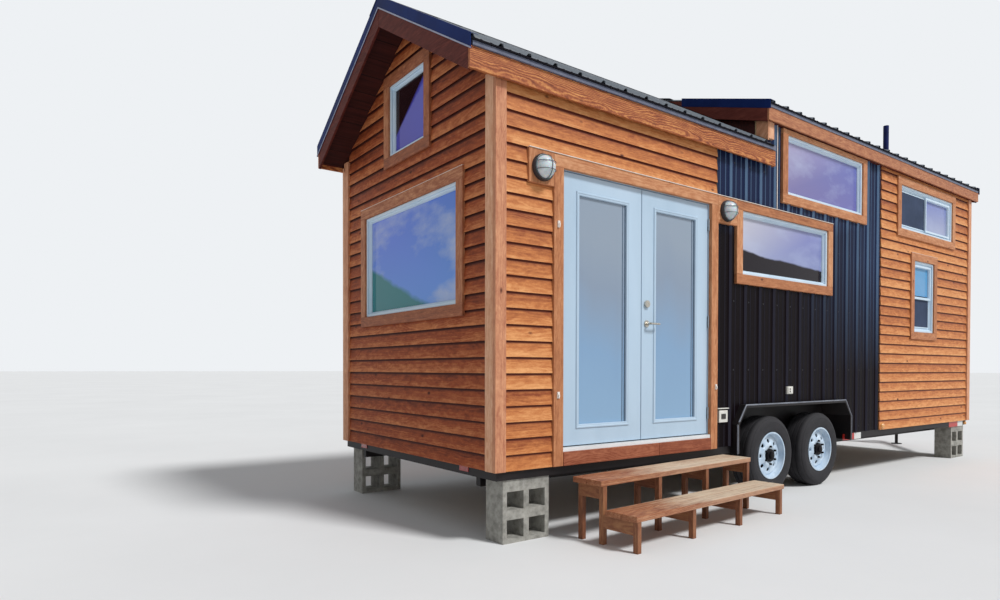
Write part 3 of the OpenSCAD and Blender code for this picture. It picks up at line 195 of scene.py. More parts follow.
# Side markings of the trailer: a strip of red and silver reflecting film along the edge beam, two domed
# amber side lamps, and ruby reflectors screwed to the rear beam. All are plain, with no lettering.
def piece(name, points, faces, material, body="house", slot=None, replaces=(), data=None, smooth=0, bevel=0):
    """A closed piece from points in house millimetres and rows of point numbers, its faces turned outwards.
    Data holds named vectors for every point; smooth is the angle in degrees under which faces blend."""
    mesh = bpy.data.meshes.new(name)
    mesh.from_pydata(metres(points).tolist(), [], faces)
    work = bmesh.new()
    work.from_mesh(mesh)
    bmesh.ops.recalc_face_normals(work, faces=work.faces)
    work.to_mesh(mesh)
    work.free()
    for key, values in (data or {}).items():
        mesh.attributes.new(key, "FLOAT_VECTOR", "POINT").data.foreach_set("vector", values.ravel())
    if smooth:
        mesh.polygons.foreach_set("use_smooth", [True] * len(mesh.polygons))
        mesh.set_sharp_from_angle(angle=math.radians(smooth))
    mesh.materials.append(material)
    made = bpy.data.objects.new(name, mesh)
    scene.collection.objects.link(made)
    if bevel:
        edge = made.modifiers.new("worn_edges", "BEVEL")
        edge.width = bevel / 1000
        edge.segments = 2
        edge.limit_method = "ANGLE"
    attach(made, body)
    if replaces:
        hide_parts(*replaces)
    return made


def net(rows, columns, closed_rows=False, closed_columns=False):
    """Four-cornered faces of a grid of points numbered row by row, closed on itself where asked."""
    r = np.arange(rows if closed_rows else rows - 1)[:, None]
    c = np.arange(columns if closed_columns else columns - 1)[None, :]
    r1, c1 = (r + 1) % rows, (c + 1) % columns
    face = [r * columns + c, r1 * columns + c, r1 * columns + c1, r * columns + c1]
    return np.stack(face, -1).reshape(-1, 4)


def turned(profile, middle, axis, rings=64):
    """A profile of (radius r, distance d along the axis) spun by the angle a: (r cos a, r sin a, d), closed
    on itself. The rows of axis say which way each of those three points in the house."""
    profile = np.asarray(profile, float)
    a = np.linspace(0, 2 * math.pi, rings, endpoint=False)[:, None]
    r, d = profile[None, :, 0], profile[None, :, 1] + 0 * a
    spun = np.stack([r * np.cos(a), r * np.sin(a), d], -1).reshape(-1, 3)
    return spun @ np.array(axis, float) + np.array(middle, float), net(rings, len(profile), True, True)


# How a turned piece stands: its circle lies along x and z, and its axis points out of the door side.
out_of_wall = [[1, 0, 0], [0, 0, 1], [0, -1, 0]]
CUBE = [[0, 1, 3, 2], [4, 5, 7, 6], [0, 1, 5, 4], [2, 3, 7, 6], [0, 2, 6, 4], [1, 3, 7, 5]]


def cubes(n):
    """The six faces of each of n boxes, whose eight points are numbered by low and high side in turn."""
    return (np.array(CUBE)[None] + 8 * np.arange(n)[:, None, None]).reshape(-1, 4)


def bars(boxes):
    """Points and faces of straight bars, each given as its low and its high corner."""
    boxes = np.asarray(boxes, float)
    pick = np.array([[i >> 2 & 1, i >> 1 & 1, i & 1] for i in range(8)])
    points = np.where(pick[None] == 0, boxes[:, None, 0], boxes[:, None, 1])
    return points.reshape(-1, 3), cubes(len(boxes))


# Prismatic reflecting film: red or silver with a fine honeycomb that shows as a soft sparkle.
red_film = spotted("red_reflecting_film", "#9d1c18", "#c23028", 0.006, (0.25, 0.4), 0.0002)
silver_film = spotted("silver_reflecting_film", "#c4c6c4", "#e2e3e0", 0.006, (0.2, 0.35), 0.0002)
# Moulded acrylic lens: clear amber or ruby over a ribbed back.
amber_lens = spotted("amber_acrylic_lens", "#d98a3c", "#f2bb78", 0.008, (0.08, 0.2), 0.0003, coat_weight=0.5)
ruby_lens = spotted("ruby_acrylic_lens", "#86140f", "#a8241c", 0.008, (0.08, 0.2), 0.0003, coat_weight=0.5)
tape_low, tape_high = 418, 486
for label, film, rows in (("red", red_film, [(4547, 4795), (7330, 7610)]),
                          ("silver", silver_film, [(4796, 4945), (7611, 7780)])):
    piece(f"tape_{label}", *bars([[[a, -1.5, tape_low], [b, 0.2, tape_high]] for a, b in rows]), film,
        slot="frame_steel", bevel=0.4)
for number, (x, z, r) in enumerate([(5400, 533, 34), (7836, 452, 20)]):
    lens_profile = [(0, 0), (r, 0), (r, r * 0.7), (r * 0.9, r), (r * 0.6, r * 1.2), (0, r * 1.3)]
    piece(f"side_lamp_{number}", *turned(lens_profile, (x, 0, z), out_of_wall, 28), amber_lens,
        slot="frame_steel", smooth=40)
piece("rear_reflector", *bars([[[-6, y, 452], [0.2, y + 115, 500]] for y in (330, 1995)]), ruby_lens,
    slot="frame_steel", bevel=2)

# Fenders. Bent and welded plate round each pair of wheels, painted black, with a rolled bead along
# the outer edge that catches the light.
finish_node(frame_paint, "fenders")
house_w, axle_mid, fender_reach = 2440.0, 3584.0, 66.0
arch_half, arch_top_half = 1015.0, 890.0
arch_foot, arch_knee, arch_top = 430.0, 686.0, 858.0


def rod(path, radius, sides=10, closed=False):
    """A round bar along a path: each point carries a circle square to the path, and flat ends close it."""
    path = np.asarray(path, float)
    run = np.roll(path, -1, 0) - np.roll(path, 1, 0) if closed else np.gradient(path, axis=0)
    run = run / np.linalg.norm(run, axis=1, keepdims=True)
    aside = np.cross(run, np.where(np.abs(run[:, 2:]) > 0.9, [[1.0, 0, 0]], [[0, 0, 1.0]]))
    aside = aside / np.linalg.norm(aside, axis=1, keepdims=True)
    over = np.cross(run, aside)
    a = np.linspace(0, 2 * math.pi, sides, endpoint=False)[None, :, None]
    points = path[:, None] + radius * (np.cos(a) * aside[:, None] + np.sin(a) * over[:, None])
    faces = net(len(path), sides, closed, True).tolist()
    if not closed:
        last = (len(path) - 1) * sides
        faces += [list(range(sides)), list(range(last, last + sides))]
    return points.reshape(-1, 3), faces


one_side = [(arch_half, arch_foot), (arch_half, arch_knee), (arch_top_half, arch_top)]
arch = np.array([(-x, z) for x, z in one_side] + one_side[::-1])
stretches = [np.linspace(a, b, 6, endpoint=False) for a, b in zip(arch[:-1], arch[1:])] + [arch[-1:]]
bead_x, bead_z = np.concatenate(stretches).T
# Rolled edge: the same enamel, painted mid grey all round as the highlight that its crown catches.
bead_highlight_paint = spotted("rolled_edge_painted_highlight", "#555963", "#858a96", 0.12, (0.3, 0.45), 0.0003)
for name, y in (("door_side", -fender_reach), ("back", house_w + fender_reach)):
    line = np.column_stack([bead_x * 0.998 + axle_mid, np.full(len(bead_x), y), bead_z - 3])
    piece(f"fender_bead_{name}", *rod(line, 7), bead_highlight_paint, slot="frame_steel", smooth=50)

# Wheels. Radial trailer tyres with three grooves and ribbed shoulders, on pressed steel wheels with
# a rolled rim, a dished disc with eight round holes, and a black hub with its nuts.
# Tyre rubber: matt charcoal, greyed by dust where the road touches it.
rubber = spotted("vulcanised_tyre_rubber", "#131216", "#262428", 0.06, (0.72, 0.9), 0.0006)
# Powder-coated steel: pale blue white, smooth, a little darker where dust gathers.
wheel_coat = spotted("powder_coated_wheel_steel", "#a9bfd4", "#cfdde9", 0.09, (0.28, 0.4), 0.0001)
# Hub enamel: black and dull, with road dust in its corners.
hub_paint = spotted("hub_black_enamel", "#080609", "#141014", 0.03, (0.35, 0.5), 0.0003, specular=0.12)

# The tyre is 225 mm wide and 736 mm across, on a rim of 16 in.
wide, outer, rim = 225.0, 368.0, 220.0
half_tyre = [(rim - 4, 16), (rim + 8, 9), (rim + 26, 4), (rim + 60, 0.5), (rim + 84, 0.5), (rim + 86, 2.5),
    (rim + 90, 2.5), (rim + 92, 1.5), (rim + 110, 6), (rim + 122, 12), (rim + 124, 16), (rim + 129, 17),
    (rim + 134, 20), (rim + 141, 30), (rim + 146, 38), (outer - 1, 46), (outer - 1, 62), (outer - 9, 64),
    (outer - 9, 69), (outer, 71), (outer, 108), (outer - 9, 110)]
half_tyre = np.array(half_tyre)
inner_tyre = np.array([(rim + 2, wide - 40), (rim + 60, wide - 24), (outer - 24, wide - 40),
    (outer - 24, 40), (rim + 60, 24), (rim + 2, 40)])
tyre_profile = np.concatenate([half_tyre, half_tyre[::-1] * [1, -1] + [0, wide], inner_tyre])
rim_profile = [(206, 8), (206, 5), (214, 3), (220, 5), (220, 10), (215, 13), (211, 18), (210, 34), (196, 52),
    (194, 120), (206, 170), (208, 205), (220, 212), (220, 219), (213, 221), (203, 212), (200, 175),
    (188, 124), (190, 48), (205, 28)]
hub_profile = [(0, -4), (26, -4), (34, 0), (36, 12), (40, 14), (58, 16), (60, 22), (60, 60), (0, 60)]


def joined(parts):
    """Several pieces of points and faces as one, with the point numbers carried on."""
    first = np.cumsum([0] + [len(points) for points, _ in parts]).tolist()
    faces = [[i + start for i in row] for start, (_, rows) in zip(first, parts)
        for row in (rows.tolist() if isinstance(rows, np.ndarray) else rows)]
    return np.concatenate([np.asarray(points, float) for points, _ in parts]), faces


def disc_sector(k, holes=8, bore=58.0, edge=207.0, middle=134.0, hole=18.5, around=32, out=7):
    """One of the dished disc's equal sectors. Each point lies between its hole's edge and the sector's
    border, at the same angle a round the hole and a share s of the way; its depth follows a dish of the
    radius, and the hole's lip is rolled in where s is small."""
    a = np.linspace(0, 2 * math.pi, around, endpoint=False)[None, :]
    s = (np.linspace(0, 1, out) ** 1.3)[:, None]
    big = np.maximum(np.abs(np.cos(a)), np.abs(np.sin(a)))
    border_turn = np.cos(a) / big * math.pi / holes
    border_r = (edge + bore) / 2 + np.sin(a) / big * (edge - bore) / 2
    hole_r = np.hypot(middle + hole * np.sin(a), hole * np.cos(a))
    hole_turn = np.arctan2(hole * np.cos(a), middle + hole * np.sin(a))
    r = (1 - s) * hole_r + s * border_r
    t = (1 - s) * hole_turn + s * border_turn + 2 * math.pi * k / holes
    dish = 46 - 20 * np.exp(-((r - 92) / 34) ** 2) + 26 * np.clip((r - 165) / 42, 0, 1) ** 2
    depth = dish + 7 * np.exp(-s * 9)
    front = np.stack([r * np.cos(t), r * np.sin(t), depth], -1).reshape(-1, 3)
    back = front + [0, 0, 5]
    faces = net(out, around, False, True)
    n = len(front)
    rim_rows = [(np.arange(around), (np.arange(around) + 1) % around),
        (n - around + np.arange(around), n - around + (np.arange(around) + 1) % around)]
    walls = [np.column_stack([p, q, q + n, p + n]) for p, q in rim_rows]
    return np.concatenate([front, back]), np.concatenate([faces, faces + n] + walls)


nut_r, nut_circle, nut_foot, nut_top = 10.5, 82.0, 10.0, 30.0
nuts = []
for k in range(6):
    a = 2 * math.pi * (k + 0.5) / 6
    six = np.array([[nut_r * math.cos(b), nut_r * math.sin(b)] for b in np.arange(6) * math.pi / 3])
    six = six + [nut_circle * math.cos(a), nut_circle * math.sin(a)]
    ring = np.concatenate([np.column_stack([six, np.full(6, z)]) for z in (nut_foot, nut_top)])
    sides = [[i, (i + 1) % 6, 6 + (i + 1) % 6, 6 + i] for i in range(6)]
    nuts.append((ring, np.array(sides, dtype=int)))
    nuts.append((ring[:6], [list(range(6))]))
tyre_face, half_axle_gap = 45, 432
# Each wheel's axis points in from its outer face: into the door side, or out of it on the back's wheels.
into_wall = [[1, 0, 0], [0, 0, 1], [0, 1, 0]]
for row, x in (("rear", axle_mid - half_axle_gap), ("front", axle_mid + half_axle_gap)):
    for hand, y, axis in (("left", -tyre_face, into_wall), ("right", house_w + tyre_face, out_of_wall)):
        wheel, middle = f"{row}_{hand}", (x, y, outer)
        rides = dict(body=f"{wheel}_wheel")
        piece(f"tyre_{wheel}_tread", *turned(tyre_profile, middle, axis, 96), rubber,
            slot="tyre_rubber", replaces=[f"tyre_{wheel}"], smooth=38, **rides)
        barrel = turned(rim_profile, middle, axis, 72)
        disc = [(p @ np.array(axis, float) + middle, f) for p, f in (disc_sector(k) for k in range(8))]
        piece(f"wheel_{wheel}_disc", *joined([barrel] + disc), wheel_coat, slot="wheel_steel",
            replaces=[f"wheel_{wheel}"], smooth=45, **rides)
        hub = turned(hub_profile, middle, axis, 36)
        drum = turned([(0, 60), (150, 72), (150, 195), (0, 195)], middle, axis, 48)
        bolts = [(p @ np.array(axis, float) + middle, f) for p, f in nuts]
        piece(f"hub_{wheel}", *joined([hub, drum] + bolts), hub_paint, slot="frame_steel", smooth=30, **rides)

# Supports. Stacks of hollow concrete blocks under the corners of the trailer, laid dry.
# Cast concrete: grey, rough, with small pits and stained patches.
concrete = spotted("cast_concrete_block", "#77756f", "#aeaca4", 0.05, (0.85, 0.95), 0.0015)
finish_node(concrete, "support_blocks")

# Framing and linings inside, which show through the glass and under the eaves: plywood linings, floor
# boards, the loft and its beam, and dark stained boarding on the slopes.
# Rotary-cut pine plywood: pale straw with long soft streaks.
lining = spotted("pine_plywood_lining", "#b39468", "#cfb58a", 0.05, (0.6, 0.75), 0.0002, (0.2, 1, 1))
# Oiled oak boards: mid brown, satin, streaked along the house.
oak_floor = spotted("oiled_oak_floor", "#8a6a45", "#b08d60", 0.03, (0.4, 0.55), 0.0003, (0.12, 1, 1))


def mottle(tree, at, scale, detail, rough=0.5, start=(0, 0, 0)):
    """Cloudy patches at a place in metres: along each axis a patch is about 1 / scale long."""
    at = add(tree, "Mapping", {"Vector": at, "Location": start, "Scale": scale})
    return add(tree, "TexNoise", {"Vector": at, "Scale": 1.0, "Detail": detail, "Roughness": rough})


# Stained spruce boarding: nearly black brown, boards 140 mm wide running along the eave.
dark_boarding, tree = blank("dark_stained_spruce_boarding")
place = add(tree, "TexCoord").outputs["Object"]
streak = mottle(tree, place, (2.0, 40.0, 40.0), 4.0)
joint = add(tree, "TexWave", {"Vector": place, "Scale": 2.25, "Distortion": 0.0}, bands_direction="Y",
    wave_profile="SAW")
groove = add(tree, "MapRange", {0: joint, 1: 0.0, 2: 0.06, 3: 0.0, 4: 1.0})
tone = add(tree, "ValToRGB", {"Fac": streak}, stops=[(0.3, "#2a0d0b"), (0.7, "#451a15")])
tone = add(tree, "Mix", {0: groove, 6: "#0e0404", 7: tone}, data_type="RGBA")
dress(dark_boarding, tone.outputs[2], 0.7, groove, 0.002, specular=0.2)
finish_node(lining, "gable_wall", "hitch_end_wall", "door_wall_corner", "door_wall_head",
    "door_wall_main", "back_wall")
finish_node(oak_floor, "floor", "loft_floor", "ridge_beam")
finish_node(dark_boarding, "steep_roof", "dormer_roof", "dormer_cheeks")

# Boards. Every trim, rake and corner board is one sawn cedar board, nailed on with its grain along it.
# The solids of the source are boxes, so a board takes its eight corners from its own solid.
chance = np.random.default_rng(11)


def cad_boards(name):
    """The eight corners of each box-like solid of a CAD node in house millimetres, ordered along, across
    and through the board: points that share faces are one solid, sorted by x, then y, then z."""
    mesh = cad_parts[name].data
    place = np.empty(len(mesh.vertices) * 3)
    mesh.vertices.foreach_get("co", place)
    points, number = np.unique(np.round(place.reshape(-1, 3) * 1000 - CORNER, 2), axis=0, return_inverse=True)
    mesh.calc_loop_triangles()
    corners = np.empty(len(mesh.loop_triangles) * 3, dtype=np.int64)
    mesh.loop_triangles.foreach_get("vertices", corners)
    triangles = number.reshape(-1)[corners].reshape(-1, 3)
    group, before = np.arange(len(points)), None
    while before is None or (before != group).any():
        before = group.copy()
        np.minimum.at(group, triangles.ravel(), np.repeat(group[triangles].min(1), 3))
    found = []
    for g in np.unique(group):
        eight = points[group == g]
        if len(eight) != 8:
            raise ValueError(f"{name} has a solid with {len(eight)} corners")
        eight = eight[np.argsort(eight[:, 0])].reshape(2, 4, 3)
        eight = np.stack([half[np.argsort(half[:, 1])] for half in eight]).reshape(4, 2, 3)
        eight = np.stack([pair[np.argsort(pair[:, 2])] for pair in eight]).reshape(2, 2, 2, 3)
        first = eight[0, 0, 0]
        reach = [np.linalg.norm(end - first) for end in (eight[1, 0, 0], eight[0, 1, 0], eight[0, 0, 1])]
        found.append(eight.transpose(*np.argsort(reach)[::-1], 3))
    return np.array(found)


def box_boards(boxes):
    """Corners of straight boards given as low and high corners, ordered along, across and through."""
    found = []
    for low, high in boxes:
        span = np.stack(np.meshgrid(*zip(low, high), indexing="ij"), -1)
        found.append(span.transpose(*np.argsort(np.subtract(high, low))[::-1], 3))
    return np.array(found, float)


def boards(name, corners, material, bases=None, axes=None, keys=None, width=None, more=None, **rest):
    """Boards with eight corners each. Point data: "wood" is the place inside the board in metres along,
    across and through it, moved by a chance amount for each board, so that it is cut from its own place in
    a log; "board" is two chance numbers and the share of the way across. The place is counted from the
    board's base along its axes, and boards with one key are cut from one place."""
    n = len(corners)
    keys = np.arange(n) if keys is None else keys
    bases = corners[:, 0, 0, 0] if bases is None else bases
    if axes is None:
        first = corners[:, 0, 0, 0]
        axes = np.stack([corners[:, 1, 0, 0], corners[:, 0, 1, 0], corners[:, 0, 0, 1]], 1) - first[:, None]
        width = np.linalg.norm(axes[:, 1], axis=1)
        axes = axes / np.linalg.norm(axes, axis=2, keepdims=True)
    inside = np.einsum("nabci,nki->nabck", corners - bases[:, None, None, None], axes)
    luck = chance.random((int(keys.max()) + 1, 5))[keys][:, None, None, None]
    log = luck[..., :3] * [40.0, 0.2, 0.25] + [0, -0.1, 0.03]
    share = inside[..., 1:2] / np.reshape(width, (-1, 1, 1, 1, 1)) + 0 * luck[..., :1]
    own = np.concatenate([np.broadcast_to(luck[..., 3:], (n, 2, 2, 2, 2)), share], -1)
    data = {"wood": inside / 1000 + log, "board": own, **(more or {})}
    return piece(name, corners.reshape(-1, 3), cubes(n), material, data=data, **rest)


def stained_wood(name, dark, mid, pale, figure=0.2, knots=1.0, edge=0.0, under=None, worn=None,
        own_shade=0.34, specular=0.3):
    """Stained softwood worked out in the board's own place in its log: growth rings round the pith, drawn
    9 mm apart so that they show, streaks along the grain, mottled stain, knots, and each board's own shade.
    Edge is painted shade across a lapped board: paler at its low edge and darker up under the lap above.
    Under is the colour of the painted shade in the top of the lap and on the butt's underside; worn is the
    colour where feet have rubbed the stain off the middle of a tread."""
    made, tree = blank(name)
    wood = add(tree, "Attribute", attribute_name="wood").outputs["Vector"]
    own = add(tree, "SeparateXYZ", {0: add(tree, "Attribute", attribute_name="board").outputs["Vector"]})
    luck, over = own.outputs[0], own.outputs[2]
    sway = mottle(tree, wood, (1.6, 5.0, 5.0), 2.0).outputs["Color"]
    sway = add(tree, "VectorMath", {0: sway, 1: (0.5, 0.5, 0.5)}, operation="SUBTRACT")
    sway = add(tree, "VectorMath", {0: sway, 1: (0.0, 0.12, 0.12)}, operation="MULTIPLY")
    bent = add(tree, "VectorMath", {0: wood, 1: sway}, operation="ADD")
    rings = add(tree, "TexWave", {"Vector": bent, "Scale": 34.0, "Distortion": 2.5, "Detail": 3.0,
        "Detail Scale": 1.5}, wave_type="RINGS", rings_direction="X")
    streak = mottle(tree, wood, (2.2, 70.0, 70.0), 5.0, 0.65)
    patch = mottle(tree, wood, (9.0, 24.0, 24.0), 5.0, 0.75)
    total = add(tree, "Math", {0: rings, 1: figure, 2: -figure / 2}, operation="MULTIPLY_ADD")
    for part, share in ((streak, 0.7), (patch, 1.1), (luck, own_shade)):
        total = add(tree, "Math", {0: part, 1: share, 2: total}, operation="MULTIPLY_ADD")
    # Painted shade across a lapped board: paler at its low edge, darker up under the lap above.
    low = add(tree, "MapRange", {0: over, 1: 0.0, 2: 0.9, 3: edge, 4: -edge})
    total = add(tree, "Math", {0: total, 1: low}, operation="ADD")
    shade = add(tree, "MapRange", {0: total, 1: 0.45 + own_shade / 2, 2: 1.35 + own_shade / 2})
    tone = add(tree, "ValToRGB", {"Fac": shade}, stops=[(0.0, dark), (0.5, mid), (1.0, pale)])
    spread = add(tree, "Mapping", {"Vector": wood, "Scale": (4.2, 8.0, 0.0)})
    cell = add(tree, "TexVoronoi", {"Vector": spread, "Scale": 1.0})
    pick = add(tree, "SeparateXYZ", {0: cell.outputs["Color"]})
    pick = add(tree, "MapRange", {0: pick, 1: 0.42, 2: 0.46, 3: 0.0, 4: knots})
    knot = add(tree, "MapRange", {0: cell.outputs["Distance"], 1: 0.05, 2: 0.12, 3: 1.0, 4: 0.0})
    knot = add(tree, "Math", {0: knot, 1: pick}, operation="MULTIPLY")
    colour = add(tree, "Mix", {0: knot, 6: tone, 7: "#4a1f10"}, data_type="RGBA").outputs[2]
    faced = add(tree, "SeparateXYZ", {0: add(tree, "TexCoord").outputs["Normal"]}).outputs[2]
    if worn:
        tread = add(tree, "Attribute", attribute_name="tread").outputs["Vector"]
        off = add(tree, "Math", {0: add(tree, "SeparateXYZ", {0: tread}), 1: 0.74}, operation="SUBTRACT")
        off = add(tree, "Math", {0: off}, operation="ABSOLUTE")
        rub = add(tree, "MapRange", {0: off, 1: 0.6, 2: 0.26, 3: 0.0, 4: 0.62})
        for part, share in ((patch, 0.7), (streak, 1.7), (luck, 0.3)):
            rub = add(tree, "Math", {0: part, 1: share, 2: rub}, operation="MULTIPLY_ADD")
        rub = add(tree, "MapRange", {0: rub, 1: 1.55, 2: 2.15})
        top = add(tree, "MapRange", {0: faced, 1: 0.2, 2: 0.8, 3: 0.25, 4: 1.0})
        rub = add(tree, "Math", {0: rub, 1: top}, operation="MULTIPLY")
        colour = add(tree, "Mix", {0: rub, 6: colour, 7: worn}, data_type="RGBA").outputs[2]
    if under:
        # Painted shade: the top of each course, in the lap above, and the faces that look down take the
        # colour under.
        underside_shade = add(tree, "MapRange", {0: faced, 1: -0.5, 2: -0.8})
        painted_lap_shade = add(tree, "MapRange", {0: over, 1: 0.79, 2: 0.9})
        painted_lap_shade = add(tree, "Math", {0: underside_shade, 1: painted_lap_shade}, operation="MAXIMUM")
        colour = add(tree, "Mix", {0: painted_lap_shade, 6: colour, 7: under}, data_type="RGBA").outputs[2]
    shine = add(tree, "MapRange", {0: streak, 3: 0.5, 4: 0.68})
    height = add(tree, "Math", {0: rings, 1: 0.4, 2: streak}, operation="MULTIPLY_ADD")
    return dress(made, colour, shine, height, 0.0006, specular=specular)


# Oiled knotty cedar: warm orange tan, satin, and palest on the corners. On the two ends, which lie in shade,
# a darker and redder copy of it is painted shade.
trim_wood = stained_wood("oiled_cedar_trim", "#8a5030", "#b87a52", "#dba67d", figure=0.14, knots=0.9)
shaded_end_trim_wood = stained_wood("cedar_trim_painted_shade", "#693824", "#9e5e3e", "#ca9068", figure=0.14, knots=0.9)
corner_wood = stained_wood("bleached_cedar_corner_board", "#a5644a", "#d0946f", "#edc09e", figure=0.12)
# A redder stain on the sill board under the doors.
sill_wood = stained_wood("red_stained_sill_board", "#6a2f1d", "#8a4a31", "#ad6c4e", figure=0.22, knots=0.3)
# Walnut stain on the boards of the rakes and on the soffits: dark, and nearly without gloss.
rake_wood = stained_wood("walnut_stained_cedar", "#421a14", "#622e27", "#81463a", figure=0.2, knots=0.2,
    specular=0.1)


def on_ends(corners):
    """Which boards lie flat on an end wall: those whose reach along the house is only their thickness."""
    return np.ptp(corners[..., 0].reshape(len(corners), -1), axis=1) < 40


boards("corner_trim", cad_boards("corner_boards"), corner_wood, slot="trim_cedar", replaces=["corner_boards"],
    bevel=2.5)
# The surrounds on the two ends take the darker, redder copy that is painted shade.
found = cad_boards("window_trims")
for where, chosen, wood in (("sides", ~on_ends(found), trim_wood), ("ends", on_ends(found), shaded_end_trim_wood)):
    boards(f"window_surrounds_{where}", found[chosen], wood, slot="trim_cedar", replaces=["window_trims"],
        bevel=2.5)
found = cad_boards("door_trim")
is_sill = found[..., 2].reshape(len(found), -1).max(1) < 600
boards("door_surround", found[~is_sill], trim_wood, slot="trim_cedar", replaces=["door_trim"], bevel=2.5)
sills = [[[x0, -38, 490], [x1, 0, 588]] for x0, x1 in ((558.5, 1568), (1570, 2236.5))]
boards("door_sill_board", box_boards(sills), sill_wood, slot="trim_cedar", replaces=["door_trim"], bevel=4)
boards("rake_boards", cad_boards("rakes"), rake_wood, slot="rake_wood", replaces=["rakes"], bevel=2)
# Moulded nylon: small white clips screwed to the boards round the doors, each a plate with a tongue.
nylon = spotted("white_nylon_clip", "#e2dcd6", "#efebe6", 0.01, (0.35, 0.5), 0.0001)
clip_places = ((497, 2160), (497, 968), (2286, 1000))
plates = [[[x, -42, z], [x + 20, -31, z + 46]] for x, z in clip_places]
tongues = [[[x + 5, -50, z + 8], [x + 15, -42, z + 30]] for x, z in clip_places]
piece("door_board_clips", *bars(plates + tongues), nylon, slot="trim_cedar", bevel=2)

# Eaves. A cedar fascia along each rafter end, and a narrow soffit board under the rafters. The lower
# eave ends at the dormer with a short return.
# Rough sawn cedar with a lively grain on the lower eave, planed and quieter on the dormer's.
fascia_wood = stained_wood("rough_sawn_cedar_fascia", "#6f351c", "#a65e37", "#dd9c5c", figure=0.5, knots=0.4,
    own_shade=0.12)
dormer_fascia_wood = stained_wood("planed_cedar_fascia", "#73402a", "#a5694a", "#cf9469", figure=0.16,
    knots=0.6)
house_l, dormer_x = 7890.0, 3081.0
gable_eave, dormer_eave, hitch_eave = -259, 3018, 8039
fascia_out, fascia_in, fascia_h, soffit_t = -69.0, -50.0, 140, 12
steep_low, dormer_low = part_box("fascias")[0].z * 1000, 3461.9
steep_top, dormer_top = steep_low + fascia_h, dormer_low + fascia_h
steep_soffit, dormer_soffit = 3076.8, 3467.9
steep_fascia = [[[gable_eave, fascia_out, steep_low], [3128, fascia_in, steep_top]],
    [[3109, fascia_in, steep_low], [3128, -33, steep_top]]]
dormer_fascia = [[[dormer_eave, fascia_out, dormer_low], [hitch_eave, fascia_in, dormer_top]]]
soffits = [[[x0, fascia_in, z + 0.1], [x1, 0, z + soffit_t]]
    for x0, x1, z in ((0, 3109, steep_soffit), (dormer_x, house_l, dormer_soffit))]


def mirrored(boxes):
    """Boxes of the door side with their copies at the back: y becomes the house's width less y."""
    turned_over = [[[a[0], house_w - b[1], a[2]], [b[0], house_w - a[1], b[2]]] for a, b in boxes]
    return list(boxes) + turned_over


for name, rows, wood in (("steep", steep_fascia, fascia_wood), ("dormer", dormer_fascia, dormer_fascia_wood)):
    boards(f"fascia_boards_{name}", box_boards(mirrored(rows)), wood, slot="cedar", replaces=["fascias"],
        bevel=2)
boards("soffit_boards", box_boards(mirrored(soffits)), rake_wood, slot="rake_wood", replaces=["fascias"])


# Lap siding. Bevelled cedar boards, 8 mm at the top and 20 mm at the butt, each lapping the one
# below at 109 mm, cut round the doors, windows, lamps and wheel arches and fitted under the roof.
def edges_between(rows, a, b):
    """The low and high edges, at a and at b, of each row that covers the strip from a to b, lowest first."""
    found = []
    for s0, s1, l0, l1, h0, h1 in rows:
        if s0 < (a + b) / 2 < s1:
            t, u = (a - s0) / (s1 - s0), (b - s0) / (s1 - s0)
            found.append([l0 + (l1 - l0) * t, l0 + (l1 - l0) * u, h0 + (h1 - h0) * t, h0 + (h1 - h0) * u])
    return sorted(found, key=lambda row: row[0] + row[1])


def strips(regions, openings, lines=()):
    """Cuts regions with openings into strips. A region or opening is (s0, s1, l0, l1, h0, h1): from s0 to s1
    its low edge runs straight from l0 to l1 and its high edge from h0 to h1. Each strip lies between two
    neighbouring values of s, where nothing starts or ends."""
    marks = sorted({round(e, 3) for r in list(regions) + list(openings) for e in r[:2]} | set(lines))
    found = []
    for a, b in zip(marks[:-1], marks[1:]):
        if b - a < 0.5:
            continue
        for la, lb, ha, hb in edges_between(regions, a, b):
            for oa, ob, pa, pb in edges_between(openings, a, b):
                if pa + pb <= la + lb or oa + ob >= ha + hb:
                    continue
                if oa + ob > la + lb + 1:
                    found.append((a, b, la, lb, oa, ob))
                la, lb = pa, pb
            if ha + hb > la + lb + 1:
                found.append((a, b, la, lb, ha, hb))
    return found


def upright(x0, x1, z0, z1):
    """A rectangle of a wall as a row for strips that run along the wall."""
    return (z0, z1, x0, x0, x1, x1)


skirt, lap, butt, thin = 491.0, 109.0, 20.0, 8.0
corner_side, casing, half_w = 57, 89, house_w / 2
panel_x0, panel_x1, flashing_top = 2327, 5347, 2676
steep, shallow = 32, 18.3
tan_steep, tan_dormer = (math.tan(math.radians(slope)) for slope in (steep, shallow))
wall_top, dormer_wall_top = 3119.0, 3495.5
shoulder, peak = (wall_top + y * tan_steep for y in (casing, half_w))
end_shoulder, end_peak = (dormer_wall_top + y * tan_dormer for y in (casing, half_w))
# Openings in the siding: the fender, the lower eave's return, the dormer's corner and the ridge beam's end.
wheel_arch = [(z0, z1, axle_mid - a0, axle_mid - a1, axle_mid + a0, axle_mid + a1) for z0, z1, a0, a1 in
    ((arch_foot, arch_knee, arch_half, arch_half), (arch_knee, arch_top, arch_half, arch_top_half))]
eave_return = (dormer_x, 3129, steep_soffit, 3089)
dormer_corner = (dormer_x, 3165, 3312.8, 3500)
beam_end = (1199, 1241, 3882, 4100)
# Each window's left and lower edge along its wall, its width and its height.
windows = dict(
    low=(2684, 2024, 1480, 566), dormer=(3407, 2848, 1480, 566), slider=(5819, 2833, 1480, 510),
    bath=(6188, 1631, 560, 860), gable=(456.5, 1635, 1515, 872), loft=(919, 2942, 590, 586))


def cased(name):
    """The rectangle of a window with its casing boards."""
    x, z, w, h = windows[name]
    return upright(x - casing, x + w + casing, z - casing, z + h + casing)


